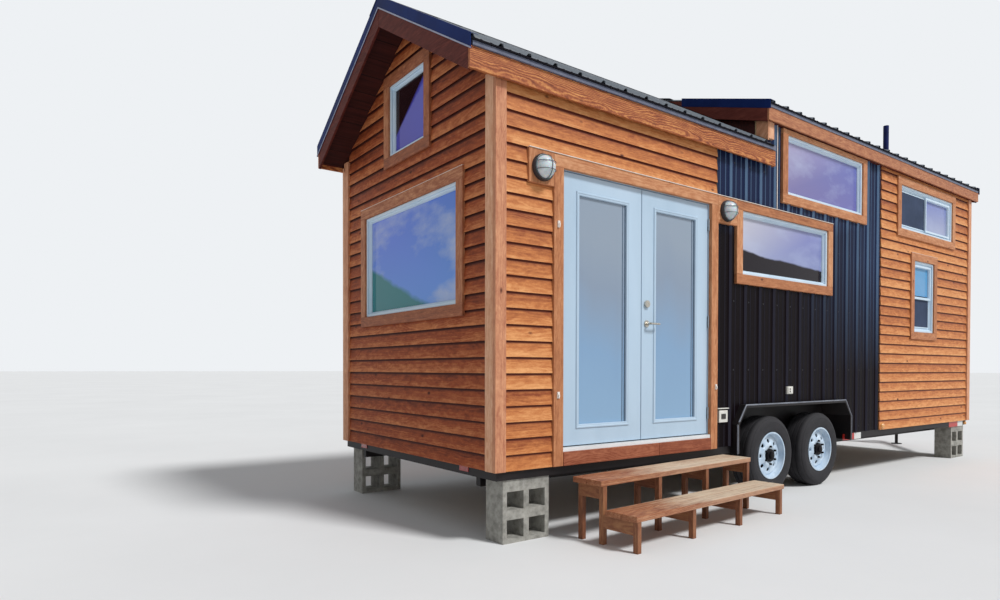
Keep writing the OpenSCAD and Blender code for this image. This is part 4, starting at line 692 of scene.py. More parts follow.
# Each wall's way from (place along it, height, depth of the siding) to the house, its regions and openings.
walls = {
    "door_side": (lambda s, z, d: (s, -d, z),
        [upright(corner_side, panel_x0, skirt, steep_soffit),
            upright(panel_x1, house_l - corner_side, skirt, dormer_soffit)],
        [upright(469, 2330, 400, flashing_top), upright(245, 2330, 2438, flashing_top), cased("slider"),
            cased("bath")]),
    "back": (lambda s, z, d: (s, house_w + d, z),
        [upright(corner_side, house_l - corner_side, skirt, steep_soffit),
            upright(dormer_x + 1, house_l - corner_side, steep_soffit, dormer_soffit)],
        [upright(*eave_return), upright(*dormer_corner), cased("low"), cased("slider")] + wheel_arch),
    "gable": (lambda s, z, d: (-d, s, z),
        [upright(casing, house_w - casing, skirt, shoulder),
            (shoulder, peak, casing, half_w, house_w - casing, half_w)],
        [cased("gable"), cased("loft")]),
    "hitch_end": (lambda s, z, d: (house_l + d, s, z),
        [upright(casing, house_w - casing, skirt, end_shoulder),
            (end_shoulder, end_peak, casing, half_w, house_w - casing, half_w)],
        [upright(*beam_end)])}
# The same oiled cedar on the long walls; on the two ends a darker, redder copy of it is painted shade. On
# every course the lap's shade is painted too: darker up under the lap above, paler at the butt, with a dark
# red brown band of painted shade at the top of the course and on the butt's underside.
siding_wood = stained_wood("oiled_cedar_lap_siding", "#843f20", "#bf7642", "#e4a46a", figure=0.12, edge=0.17,
    under="#5c2112")
shaded_end_siding_wood = stained_wood("cedar_lap_siding_painted_shade", "#5a2414", "#9a4c2a", "#ce8352", figure=0.12,
    edge=0.2, under="#3a120b", specular=0.15)
courses = [skirt + lap * i for i in range(33)]
joint_gap, joint_reach = 0.7, 600
for wall, (onto, regions, openings) in walls.items():
    corners, bases, keys, numbers = [], [], [], {}
    for a, b, la, lb, ha, hb in strips(regions, openings, courses):
        course = math.floor((a - skirt + 0.01) / lap)
        base = skirt + lap * course
        low_end, high_end = min(la, lb), max(ha, hb)
        joint = 3200 + 595 * (course * 3 % 5)
        jointed = high_end - low_end > 4000 and low_end + joint_reach < joint < high_end - joint_reach
        joints = [joint] if jointed else []
        ends = [[la] + joints + [ha], [lb] + joints + [hb]]
        for k in range(len(joints) + 1):
            low = [row[k] + joint_gap * (k > 0) for row in ends]
            high = [row[k + 1] - joint_gap * (k < len(joints)) for row in ends]
            corners.append([[[onto(s, z, d) for d in (0, butt + (thin - butt) * (z - base) / lap)]
                for s, z in zip(side, (a, b))] for side in (low, high)])
            bases.append(onto(0, base, 0))
            stretch = int(min(low) > 2300) + 2 * int(min(low) > 4000)
            keys.append(numbers.setdefault((course, stretch, k), len(numbers)))
    n = len(corners)
    axes = np.array([onto(1, 0, 0), onto(0, 1, 0), onto(0, 0, 1)], float) - np.array(onto(0, 0, 0), float)
    # The two ends take the darker, redder copy that is painted shade.
    wood = siding_wood if wall in ("door_side", "back") else shaded_end_siding_wood
    boards(f"siding_{wall}", np.array(corners, float), wood, np.array(bases, float),
        np.repeat(axes[None], n, 0), np.array(keys), np.full(n, lap), slot="cedar", replaces=["cedar_siding"])

# Ribbed metal. Roll-formed painted sheet: high ribs every 228.6 mm with two low ones between, screwed
# to the wall over the wheels and to both roofs.
def sheet_paint(name, dull, blue, dull_flank_highlight, sky_flank_highlight, rough, specular, sky_reflection_from=2.35):
    """Painted sheet with painted light: a dull tone, and a blue painted reflection of the sky blended in by
    height over the ground and by place along the house; each has a paler painted highlight on the flank of a
    rib that faces the gable, and the other flank is darkened as painted shade."""
    made, tree = blank(name)
    texture = add(tree, "TexCoord")
    where = add(tree, "SeparateXYZ", {0: texture.outputs["Object"]})
    faced = add(tree, "SeparateXYZ", {0: texture.outputs["Normal"]})
    # Where the painted reflection of the sky lies: high up, and lower down towards the hitch.
    high = add(tree, "MapRange", {0: where.outputs[2], 1: sky_reflection_from, 2: sky_reflection_from + 0.4})
    far = add(tree, "MapRange", {0: where, 1: -0.8, 2: 0.7})
    low = add(tree, "MapRange", {0: where.outputs[2], 1: sky_reflection_from - 1.2, 2: sky_reflection_from})
    share = add(tree, "Math", {0: far, 1: low}, operation="MULTIPLY")
    share = add(tree, "Math", {0: share, 1: high}, operation="MAXIMUM")
    tone = add(tree, "Mix", {0: share, 6: dull, 7: blue}, data_type="RGBA").outputs[2]
    sheen = add(tree, "Mix", {0: share, 6: dull_flank_highlight, 7: sky_flank_highlight}, data_type="RGBA").outputs[2]
    # Painted highlight on each rib's flank that faces the gable.
    flank = add(tree, "MapRange", {0: faced, 1: -0.3, 2: -0.84})
    tone = add(tree, "Mix", {0: flank, 6: tone, 7: sheen}, data_type="RGBA").outputs[2]
    # Painted shade on the other flank.
    flank = add(tree, "MapRange", {0: faced, 1: 0.3, 2: 0.84, 3: 0.0, 4: 0.85})
    tone = add(tree, "Mix", {0: flank, 6: tone, 7: "#070508"}, data_type="RGBA").outputs[2]
    dust = add(tree, "TexNoise", {"Vector": texture.outputs["Object"], "Scale": 35.0, "Detail": 4.0})
    shine = add(tree, "MapRange", {0: dust, 3: rough[0], 4: rough[1]})
    return dress(made, tone, shine, dust, 0.00003, specular=specular)


# Silicone polyester paint on steel: black brown and dull low on the wall. The blue higher up and towards the
# hitch is a painted reflection of the sky, the paler flank of each rib that faces the gable a painted
# highlight, and the darker other flank painted shade. On the roofs it mirrors more of the sky.
wall_paint = sheet_paint("wall_sheet_paint_painted_reflections", "#0e070a", "#1a2340", "#3a3945", "#7390b2",
    (0.3, 0.46), 0.05)
roof_paint = sheet_paint("roof_sheet_paint_painted_reflections", "#15151e", "#1c1e2c", "#5a626c", "#6c7680",
    (0.3, 0.38), 0.9)
rib_pitch, wall_rib, steep_rib, dormer_rib = 228.6, 2545, -29, 3301
ridge_z, eave_reach, roof_run = 4047.42, 83, 1273


def rib_heights(x, first):
    """Height of the sheet over x: a high rib 19 mm at each pitch, low ribs of 4 mm at the thirds, and each
    rib straight from foot to top."""
    u = (np.asarray(x) - first + rib_pitch / 2) % rib_pitch - rib_pitch / 2
    high = np.interp(np.abs(u), [11, 23], [19, 0])
    v = (np.asarray(x) - first + rib_pitch / 6) % (rib_pitch / 3) - rib_pitch / 6
    small = np.interp(np.abs(v), [6, 12], [4, 0])
    return np.maximum(high, np.where(np.abs(u) > rib_pitch / 6, small, 0))


def rib_marks(x0, x1, first):
    """The places between x0 and x1 where the sheet is bent."""
    marks = [x0, x1]
    for k in range(math.floor((x0 - first) / rib_pitch) - 1, math.ceil((x1 - first) / rib_pitch) + 1):
        marks += [first + k * rib_pitch + d for d in (-23, -11, 11, 23)]
        marks += [first + (k + j / 3) * rib_pitch + d for j in (1, 2) for d in (-12, -6, 6, 12)]
    return np.unique([m for m in marks if x0 <= m <= x1])


def ribbed(rows, first, onto, sheet=2.0, lift=0.3):
    """Ribbed sheet over strips along x. At each bend x the sheet runs from the strip's low edge to its high
    edge; onto turns (x, distance along the ribs, height off the wall) into house millimetres."""
    parts = []
    for a, b, la, lb, ha, hb in rows:
        x = rib_marks(a, b, first)
        h = rib_heights(x, first)
        low, high = np.interp(x, [a, b], [la, lb]), np.interp(x, [a, b], [ha, hb])
        section = ((low, 0), (low, sheet), (high, sheet), (high, 0))
        points = np.stack([onto(x, t, h + lift + over) for t, over in section], 1)
        n = len(x)
        caps = np.array([[0, 1, 2, 3], [4 * n - 4, 4 * n - 3, 4 * n - 2, 4 * n - 1]])
        parts.append((points.reshape(-1, 3), np.concatenate([net(n, 4, False, True), caps])))
    return joined(parts)


def on_wall(x, z, h):
    """The door side's wall: a place along it, a height over the ground, and a height off the wall."""
    return np.stack([x, -h, z], -1)


def on_roof(slope, back):
    """Points of a roof slope: a distance t up the slope from the eave line, and a height h square to it, so
    y = t cos - h sin less the eave's reach, and z = foot + t sin + h cos."""
    c, s = math.cos(math.radians(slope)), math.sin(math.radians(slope))
    foot = ridge_z - (half_w + eave_reach) * s / c

    def onto(x, t, h):
        y = -eave_reach + t * c - h * s
        return np.stack([x + 0 * y, house_w - y if back else y, foot + t * s + h * c], -1)
    return onto


def across(x0, x1, z0, z1):
    """A rectangle as a row for strips that run up the wall."""
    return (x0, x1, z0, z0, z1, z1)


# The wall sheet is cut under both soffits, round the lamp's block, the flashings, the two windows with
# their casings, the eave's return, the dormer's corner, the sockets and the fender.
panel_foot = 495
panel_regions = [across(panel_x0, dormer_x + 1, panel_foot, steep_soffit),
    across(dormer_x + 1, panel_x1, panel_foot, dormer_soffit)]
panel_openings = [across(2326, 2595, 2438, 2671), across(2000, 4253, 2671, flashing_top),
    across(2595, 4253, 1935, 2672), across(3318, 4976, 2759, 3500), across(3228, 3238, flashing_top, 3500),
    across(*eave_return), across(*dormer_corner), across(2361, 2481, 712, 816), across(2336, 2491, 829, 837),
    across(3438, 3535, 937, 1010)]
arch_x = [axle_mid + d for d in (-arch_half, -arch_top_half, arch_top_half, arch_half)]
arch_z = [arch_knee, arch_top, arch_top, arch_knee]
panel_openings += [(arch_x[i], arch_x[i + 1], 400, 400, arch_z[i], arch_z[i + 1]) for i in range(3)]
piece("wall_sheets", *ribbed(strips(panel_regions, panel_openings), wall_rib, on_wall, lift=0), wall_paint,
    slot="ribbed_metal", replaces=["metal_wall_panel"])
# Where the dormer's roof is 147.5 mm over the steep one, the steep sheets pass under it.
cos_steep, cos_dormer = (math.cos(math.radians(slope)) for slope in (steep, shallow))
tan_gap, sheet_start, dormer_sheet_x = tan_steep - tan_dormer, 0.5, 3036
under_dormer = (half_w - 147.5 / tan_gap + eave_reach - 6) / cos_steep
steep_rows = [(x0, x1, sheet_start, sheet_start, top, top) for x0, x1, top in (
    (gable_eave, dormer_sheet_x, roof_run / cos_steep), (dormer_sheet_x, dormer_x - 1, under_dormer))]
dormer_rows = [(dormer_eave, hitch_eave, 0, 0, roof_run / cos_dormer, roof_run / cos_dormer)]
for back, side in ((False, "door_side"), (True, "back")):
    for roof, rows, rib, slope in (("steep", steep_rows, steep_rib, steep),
                                   ("dormer", dormer_rows, dormer_rib, shallow)):
        piece(f"{roof}_roof_sheets_{side}", *ribbed(rows, rib, on_roof(slope, back)), roof_paint,
            slot="ribbed_metal", replaces=[f"{roof}_roof_metal"])
finish_node(roof_paint, "ridge_cap")

# Screws of the sheets. Painted steel: hexagon heads on a round washer, in rows beside the high ribs of the
# wall and of both roofs.
screw_paint = spotted("painted_screw_heads", "#16151b", "#26262f", 0.004, (0.3, 0.45), 0.0)
from_rib, clear = 45, 12
spots = []
for x in np.arange(wall_rib - rib_pitch + from_rib, panel_x1, rib_pitch):
    for z in np.arange(560, 3400, 610):
        cut = any(r[0] - clear < x < r[1] + clear and min(r[2:4]) - clear < z < max(r[4:]) + clear
            for r in panel_openings)
        if 2340 < x < 5330 and not cut and (x > 3095 or z < 3050):
            spots.append((np.array([x, 0.0, z]), np.array([0, -1.0, 0]), 2.0))
for slope, rib, x0, x1 in ((steep, steep_rib, -250, 3020), (shallow, dormer_rib, 3030, 8030)):
    first = rib + from_rib + rib_pitch * math.ceil((x0 - rib - from_rib) / rib_pitch)
    for back in (False, True):
        for x in np.arange(first, x1, rib_pitch):
            for t in (45, 430, 850, 1250):
                foot, tip = (on_roof(slope, back)(np.array(x), np.array(t), np.array(h)) for h in (0.0, 1.0))
                spots.append((foot, tip - foot, 2.3))
sixths = np.arange(6)
turns = (sixths * math.pi / 3)[:, None]
heads, head_faces = [], []
for spot, out, base in spots:
    aside = np.cross(out, [1.0, 0, 0])
    aside = aside / np.linalg.norm(aside)
    over = np.cross(out, aside)
    for r, h0, h1 in ((8.0, base, base + 1.5), (4.6, base + 1.5, base + 5.5)):
        circle = r * (np.cos(turns) * aside + np.sin(turns) * over)
        i, j = 12 * len(heads) + sixths, 12 * len(heads) + (sixths + 1) % 6
        heads.append(np.concatenate([spot + out * h0 + circle, spot + out * h1 + circle]))
        head_faces += np.stack([i, j, j + 6, i + 6], 1).tolist() + [i.tolist(), (i + 6).tolist()]
piece("sheet_screws", np.concatenate(heads), head_faces, screw_paint, slot="ribbed_metal")

# Folded edges. Grey drip edges over the fascias, dark rake edges over the sheets' last ribs, a pale
# flashing over the lamps, doors and window, and a pale strip where the upper wall sheet starts.
# Coil-coated steel: even, satin, with small handling marks.
drip_coat = spotted("grey_coil_coated_steel", "#50556a", "#6b7082", 0.06, (0.35, 0.5), 0.0001)
# On the rake edges the coat is dark, and its blue is a painted reflection of the sky, with the specular
# turned low.
rake_coat = spotted("dark_coil_coated_steel", "#0e1f50", "#1a2f68", 0.3, (0.35, 0.5), 0.0001, specular=0.04)
hem_coat = spotted("pale_hemmed_edge", "#7c8098", "#a0a4b8", 0.08, (0.35, 0.5), 0.0001)
flash_coat = spotted("cream_coil_coated_steel", "#d8cabf", "#efe6dd", 0.06, (0.35, 0.5), 0.0001)
drip_reach, kick = 75, 3
steep_drip, dormer_drip = (ridge_z - (half_w + drip_reach) * tan for tan in (tan_steep, tan_dormer))
drips = [[[-240, -drip_reach, steep_top], [dormer_x, fascia_in, steep_drip]],
    [[dormer_x, -drip_reach, steep_top], [3128, -33, steep_drip]],
    [[3037, -drip_reach, dormer_top], [8020, fascia_in, dormer_drip]],
    [[3037, -drip_reach, dormer_top - 25], [8020, fascia_out, dormer_top]],
    [[-240, -eave_reach, steep_top], [dormer_x, -drip_reach, steep_top + kick]]]
piece("drip_edges", *bars(mirrored(drips)), drip_coat, slot="edge_metal", replaces=["metal_trims"], bevel=1.5)
# Foam closures under the ends of the sheets, black brown and matt, and open where the ribs end. They stand in
# front of the top of the drip edge, where their near black is painted shade: the shadow under the sheets'
# ends.
foam_and_shade = spotted("foam_closure_and_painted_shade", "#08060b", "#15131c", 0.01, (0.8, 0.9), 0.0003, specular=0.1)
closures = [[[x0, -84.5, z - 10], [x1, -76, z + 2.5]] for x0, x1, z in (
    (gable_eave, dormer_x - 1, ridge_z - (half_w + eave_reach) * tan_steep),
    (dormer_eave, hitch_eave, ridge_z - (half_w + eave_reach) * tan_dormer))]
piece("eave_closures", *bars(mirrored(closures)), foam_and_shade, slot="edge_metal")
flashings = [[[245, -38, 2671], [4253, 0, flashing_top]],
    [[3228, -25, flashing_top], [3238, 0, dormer_soffit]]]
x, z, w, h = windows["gable"]
flashings.append([[-33, x - casing, z + h + casing], [-20, x + w + casing, z + h + casing + 3]])
x, z, w, h = windows["bath"]
flashings.append([[x - casing, -33, z + h + casing], [x + w + casing, -20, z + h + casing + 3]])
piece("wall_flashings", *bars(flashings), flash_coat, slot="edge_metal", replaces=["metal_trims"], bevel=1)


def rake_fold(section, face, inward, slope, back, stop=half_w - 0.5):
    """Folded edge of a rake: its section of (distance in from the face, height over the roof's underlay) is
    carried up the slope, whose height is the ridge less the tangent times the way down."""
    y = np.array([-eave_reach, 300, 700, stop], float)
    s = np.array(section)
    z = ridge_z - (half_w - y) * math.tan(math.radians(slope))
    points = np.stack([face + inward * s[None, :, 0] + 0 * y[:, None],
        (house_w - y if back else y)[:, None] + 0 * s[None, :, 0], z[:, None] + s[None, :, 1]], -1)
    n = len(section)
    faces = net(len(y), n, False, True).tolist() + [list(range(n)), list(range(3 * n, 4 * n))]
    return points.reshape(-1, 3), faces


fold_t, lip = 4, 8
dormer_stop = half_w - (58 + 31) / tan_gap
rakes = ((gable_eave - fold_t, 1, steep, 70, half_w - 0.5),
    (hitch_eave + fold_t, -1, shallow, 58, half_w - 0.5), (dormer_eave - fold_t, 1, shallow, 58, dormer_stop))
folds, hems = [], []
for back in (False, True):
    for face, inward, slope, low, stop in rakes:
        top = 22 + 21 * (1 / math.cos(math.radians(slope)) - 1)
        folds.append(rake_fold([(0, -low), (0, top + 3), (60, top + 3), (60, top), (fold_t, top),
            (fold_t, lip - low), (9, lip - low), (9, -low)], face, inward, slope, back, stop))
    hems.append(rake_fold([(-3, -72), (-3, -61), (0, -61), (0, -72)], gable_eave - fold_t, 1, steep, back))
piece("rake_edges", *joined(folds), rake_coat, slot="edge_metal", replaces=["metal_trims"])
piece("rake_hems", *joined(hems), hem_coat, slot="edge_metal")


# Windows. Welded white vinyl frames with a nailing flange, a stepped sash and a sloped glazing bead; sealed
# glass units with a painted reflection of the sky, and mesh screens over the opening lights.
def surround(x0, x1, z0, z1, section, onto):
    """A frame round a rectangle: its section of (distance in from the edge, depth) is carried round with
    mitred corners, so a point is the corner moved in by the distance on both axes."""
    s = np.array(section, float)
    px = np.stack([x0 + s[:, 0], x1 - s[:, 0], x1 - s[:, 0], x0 + s[:, 0]])
    pz = np.stack([z0 + s[:, 0], z0 + s[:, 0], z1 - s[:, 0], z1 - s[:, 0]])
    depth = np.broadcast_to(s[None, :, 1], px.shape)
    return onto(px, pz, depth).reshape(-1, 3), net(4, len(s), True, True)


# Extruded vinyl: clean white and satin, painted a little blue all over for the sky light that falls on it in
# the shade.
vinyl = spotted("extruded_white_vinyl", "#bfd6e8", "#d6e6f2", 0.3, (0.32, 0.42), 0.00005)
frame_section = [(0, -14), (3, -16), (20, -16), (24, -12), (24, 0), (30, 3), (34, 3), (42, 16), (42, 61),
    (0, 61)]
sash_section = [(0, -6), (22, -6), (30, 8), (30, 30), (0, 30)]
inner_side_sash = [(0, 20), (22, 20), (26, 24), (26, 46), (0, 46)]
inner_low_sash = [(0, 20), (26, 20), (30, 24), (30, 46), (0, 46)]
frame_w, sash_lap, inner_lap = 42, 24, 8
# The windows of the door side, of the gable and of the back, each wall with its way from (place along it,
# height, depth behind its face) to the house.
window_walls = (
    (lambda x, z, d: np.stack([x, d, z], -1), ["low", "dormer", "slider", "bath"]),
    (lambda x, z, d: np.stack([d, x, z], -1), ["gable", "loft"]),
    (lambda x, z, d: np.stack([x, house_w - d, z], -1), ["low", "slider"]))
frames, screens = [], []
for onto, names in window_walls:
    for name in names:
        x, z, w, h = windows[name]
        frames.append(surround(x, x + w, z, z + h, frame_section, onto))
        x0, x1, z0, z1 = x + frame_w, x + w - frame_w, z + frame_w, z + h - frame_w
        if name == "slider":
            mid = x + w / 2
            frames.append(surround(mid - sash_lap, x1, z0, z1, sash_section, onto))
            frames.append(surround(x0, mid + inner_lap, z0, z1, inner_side_sash, onto))
            screens.append((onto, x + 60, mid - 20, z + 60, z + h - 60))
        if name == "bath":
            mid = z + h / 2
            frames.append(surround(x0, x1, mid - sash_lap, z1, sash_section, onto))
            frames.append(surround(x0, x1, z0, mid + inner_lap, inner_low_sash, onto))
            screens.append((onto, x + 66, x + w - 66, z + 66, mid - 22))
piece("vinyl_frames", *joined(frames), vinyl, slot="window_vinyl", replaces=["window_frames"], smooth=25)

# Window panes. Sealed units of coated glass, one box of glass in each sash.
# Coated glass with painted reflections: its colour is a painted reflection of the sky in lavender, violet or
# sky blue, each window by the way it faces, with soft painted clouds. A painted reflection lies over a
# slanting line of the pane: a dark band of the roofline low in the lower window, a cool green low in the
# gable's, and a dark corner in the loft's, which is the eave's painted reflection and shade.
glass, tree = blank("window_glass_painted_reflections")
place = add(tree, "TexCoord").outputs["Object"]
on_pane, painted_marks = (add(tree, "Attribute", attribute_name=key).outputs["Vector"] for key in ("pane", "painted_reflection_marks"))
along, up, cloudy = add(tree, "SeparateXYZ", {0: on_pane}).outputs
roofline_reflection, green_reflection, eave_reflection_and_shade = add(tree, "SeparateXYZ", {0: painted_marks}).outputs
haze = mottle(tree, place, (1.1, 1.1, 1.6), 4.0, 0.55)
cloud = mottle(tree, place, (1.1, 1.1, 2.4), 6.0, 0.6, (3.0, 1.0, 5.0))
marks = [(add(tree, "MapRange", {0: cloud, 1: 0.48, 2: 0.66}), cloudy, "#c2cee8")]
for slant, wobble, start, full, strength, code in ((0.18, 0.3, 0.58, 0.54, roofline_reflection, "#1c151b"),
        (-0.75, 0.4, -0.02, -0.08, green_reflection, "#3f868b"), (0.75, 0.0, 0.98, 1.04, eave_reflection_and_shade, "#2a181b")):
    height = add(tree, "Math", {0: along, 1: slant, 2: up}, operation="MULTIPLY_ADD")
    height = add(tree, "Math", {0: haze, 1: wobble, 2: height}, operation="MULTIPLY_ADD")
    marks.append((add(tree, "MapRange", {0: height, 1: start, 2: full}), strength, code))
tone = add(tree, "Attribute", attribute_name="reflection_tint").outputs["Color"]
for mark, strength, code in marks:
    share = add(tree, "Math", {0: mark, 1: strength}, operation="MULTIPLY")
    tone = add(tree, "Mix", {0: share, 6: tone, 7: code}, data_type="RGBA").outputs[2]
dress(glass, tone, 0.04, specular=0.15, transmission_weight=0.05)
# Each window's painted reflection tints as seen from outside: top left and right, bottom left and right. Then
# its share of painted cloud, and its painted dark band, cool green and dark corner.
reflection_tints = dict(low=("#c6c5cf", "#7c81bc", "#a6aeca", "#7a85b4", 0.3, 1.0, 0.0, 0.0),
    dormer=("#aaa2c2", "#6e75b8", "#827ba8", "#706faf", 0.35, 0.0, 0.0, 0.0),
    slider=("#7480c0", "#7c88c2", "#a3abc8", "#a8aec8", 0.2, 0.0, 0.0, 0.0),
    bath=("#5c9cca", "#5c9cca", "#5c9ccc", "#5c9ccc", 0.1, 0.0, 0.0, 0.0),
    gable=("#6a84ec", "#6088de", "#72a2f0", "#74a4f0", 0.8, 0.0, 1.0, 0.0),
    loft=("#5350b8", "#5c5cc4", "#5650b4", "#5c5cc4", 0.0, 0.0, 0.0, 1.0))
panes = cad_boards("window_glass")
n = len(panes)
flat = panes.reshape(n, 8, 3)
middle = flat.mean(1)
on_gable = middle[:, 0] < 100
centres = {name: (x + w / 2, z + h / 2) for name, (x, z, w, h) in windows.items()}
looks = []
for a, z in zip(np.where(on_gable, middle[:, 1], middle[:, 0]), middle[:, 2]):
    looks.append(reflection_tints[min(centres, key=lambda name: abs(centres[name][0] - a) + abs(centres[name][1] - z))])
cells = np.where(on_gable[:, None, None], flat[..., 1:], flat[..., [0, 2]])
low_edge, high_edge = cells.min(1, keepdims=True), cells.max(1, keepdims=True)
share = (cells - low_edge) / (high_edge - low_edge)
over = np.where(on_gable[:, None], 1 - share[..., 0], share[..., 0])[..., None]
codes = np.array([[linear(code)[:3] for code in look[:4]] for look in looks])
tl, tr, bl, br = codes.transpose(1, 0, 2)[:, :, None]
amounts = np.repeat(np.array([look[4:] for look in looks])[:, None], 8, 1)
each = {"pane": np.concatenate([share, amounts[..., :1]], -1), "painted_reflection_marks": amounts[..., 1:],
    "reflection_tint": share[..., 1:] * (tl + over * (tr - tl)) + (1 - share[..., 1:]) * (bl + over * (br - bl))}
piece("window_panes", flat.reshape(-1, 3), cubes(n), glass, slot="window_glass", replaces=["window_glass"],
    data=each)


# Insect screens over the opening lights. Mesh cloth of woven glass fibre, in a narrow vinyl frame that is
# clipped outside the sash.
def spanned(onto, low, high):
    """A straight bar between two corners in a wall's or a leaf's own frame; onto turns it to the house's."""
    ends = [onto(*np.array(corner, float)) for corner in (low, high)]
    return bars([[np.minimum(*ends), np.maximum(*ends)]])


# Woven glass-fibre mesh, charcoal: the weave is too fine to show, so it is a soft dark veil.
mesh_cloth = spotted("charcoal_insect_mesh", "#303b50", "#3e4a62", 0.2, (0.7, 0.8), 0.0001, specular=0.15)
screen_d = 14
edge_section = [(0, screen_d - 2), (12, screen_d - 2), (12, screen_d + 3), (0, screen_d + 3)]
veils = [surround(x0 - 8, x1 + 8, z0 - 8, z1 + 8, edge_section, onto) for onto, x0, x1, z0, z1 in screens]
piece("screen_frames", *joined(veils), vinyl, slot="window_vinyl", bevel=1)
cloths = [spanned(onto, (x0, z0, screen_d), (x1, z1, screen_d + 1)) for onto, x0, x1, z0, z1 in screens]
piece("insect_screens", *joined(cloths), mesh_cloth, slot="window_glass")

# Doors. Two outswing glazed leaves of painted fibreglass, pale blue white, each with one full lite in
# a moulded frame and a blind between its panes, hung on three hinges in a painted frame.
# Brushed gloss paint on fibreglass: pale blue white and smooth.
door_paint = spotted("satin_door_paint", "#a9c0d3", "#b8cddf", 0.5, (0.3, 0.4), 0.0001, (1, 1, 0.3))
# Brushed stainless steel: grey, satin.
hinge_steel = spotted("satin_hinge_steel", "#8f949a", "#aab0b6", 0.02, (0.3, 0.45), 0.0001, metallic=0.9)
# Blind behind glass: blue grey, brighter low down, under a clear reflecting pane.
blind, tree = blank("blind_behind_door_glass")
place = add(tree, "TexCoord").outputs["Object"]
height = add(tree, "SeparateXYZ", {0: place})
share = add(tree, "MapRange", {0: height.outputs[2], 1: 0.75, 2: 2.5})
smear = mottle(tree, place, (2.0, 2.0, 0.8), 3.0)
total = add(tree, "Math", {0: smear, 1: 0.35, 2: share}, operation="MULTIPLY_ADD")
tone = add(tree, "ValToRGB", {"Fac": total}, stops=[(0.15, "#87aac9"), (0.5, "#7e9fc0"), (0.8, "#8494a8"),
    (1.0, "#8c9aaa")])
dress(blind, tone, 0.1, specular=0.4, coat_weight=0.2, coat_roughness=0.03)
# Anodised aluminium channels of the blind, blue grey, one pair at the far edge of each lite.
spacer_paint = spotted("anodised_blind_channel", "#41556a", "#536a80", 0.05, (0.4, 0.5), 0.0)

# The pins of the hinges stand upright.
straight_up = [[1, 0, 0], [0, 1, 0], [0, 0, 1]]
leaf_w, leaf_h, leaf_t, stile, rail = 822.0, 1950.0, 44.0, 166.0, 150.0
door_foot, door_set, hinge_half, lite_lap = 624, 4, 50, 30
lite_section = [(0, 0.5), (0, -4), (4, -8), (12, -8), (17, -5), (22, -5), (27, -3), (30, 2), (30, 12),
    (12, 12)]
leaf_section = [(0, 2), (2, 0), (stile - 20, 0), (stile - 20, leaf_t), (2, leaf_t), (0, leaf_t - 2)]
for name, hinge_x, way in (("left", 572.0, 1.0), ("right", 2223.0, -1.0)):
    def at_leaf(x, z, d, hinge_x=hinge_x, way=way):
        """A leaf's own x from its hinge edge, height and depth, in house millimetres."""
        return np.stack([hinge_x + way * x, door_set + d, door_foot + z], -1)

    rides = dict(body=f"{name}_leaf")
    leaf = [surround(0, leaf_w, 0, leaf_h, leaf_section, at_leaf)]
    for section in (lite_section, [(a, leaf_t - d) for a, d in lite_section]):
        leaf.append(surround(stile - lite_lap, leaf_w - stile + lite_lap, rail - lite_lap,
            leaf_h - rail + lite_lap, section, at_leaf))
    piece(f"{name}_leaf", *joined(leaf), door_paint, slot="door_paint", replaces=[f"{name}_door"], smooth=25,
        **rides)
    pane_corners = (stile, rail, 13), (leaf_w - stile, leaf_h - rail, 31)
    piece(f"{name}_blind_glass", *spanned(at_leaf, *pane_corners), blind, slot="door_glass",
        replaces=[f"{name}_door_glass"], **rides)
    far_edge = leaf_w - stile if way > 0 else stile
    channels = [spanned(at_leaf, (far_edge - way * a, rail, 11.5), (far_edge - way * b, leaf_h - rail, 13.5))
        for a, b in ((3, 11), (26, 34))]
    piece(f"{name}_blind_channels", *joined(channels), spacer_paint, slot="door_glass", **rides)
    pin_x, pin_y, _ = at_leaf(-3.0, 0.0, -11.0)
    knuckles, plates = [], []
    for middle_z in (175, leaf_h / 2 - 20, leaf_h - 170):
        for z0, z1, group, x0, x1 in ((-16.6, 16.6, knuckles, -2.5, 0.0),
                                      (-hinge_half, -17, plates, -6.0, -3.5),
                                      (17, hinge_half, plates, -6.0, -3.5)):
            long = z1 - z0
            pin = [(0, 0), (5.5, 0), (6, 0.5), (6, long - 0.5), (5.5, long), (0, long)]
            group.append(turned(pin, (pin_x, pin_y, door_foot + middle_z + z0), straight_up, 20))
            group.append(spanned(at_leaf, (x0, middle_z + z0, -11), (x1, middle_z + z1, 26)))
    piece(f"{name}_hinge_knuckles", *joined(knuckles), hinge_steel, slot="nickel",
        replaces=[f"{name}_door"], smooth=40, **rides)
    piece(f"{name}_hinge_plates", *joined(plates), hinge_steel, slot="nickel", smooth=40)
# The frame's two jambs and head, each with its stop behind the leaves.
jamb_t, stop_t, stop_y, frame_d, head_z = 25, 12, 53, 115, 2580
jambs = [[[x, 0, 616.5], [x + jamb_t, frame_d, head_z - 0.5]] for x in (541, 2229)]
stops = [[[x, stop_y, 616.5], [x + stop_t, frame_d, head_z - 12.5]] for x in (566, 2217)]
head = [[541, 0, head_z], [2254, frame_d, head_z + jamb_t]]
head_stop = [[566, stop_y, head_z - 12], [2229, frame_d, head_z]]
piece("door_frame_boards", *bars(jambs + [head] + stops + [head_stop]), door_paint, slot="door_paint",
    replaces=["door_frame"], bevel=1)
# Threshold: white coated aluminium with a rounded nosing over the sill board.
sill_coat = spotted("white_coated_aluminium", "#d5d8da", "#e6e8e9", 0.2, (0.3, 0.4), 0.0001)
finish_node(sill_coat, "threshold")
# Satin nickel: warm grey metal, finely brushed.
nickel = spotted("satin_nickel", "#b5afa4", "#c9c4ba", 0.01, (0.22, 0.34), 0.0, (1, 1, 0.2), metallic=1.0)
finish_node(nickel, "door_lever")

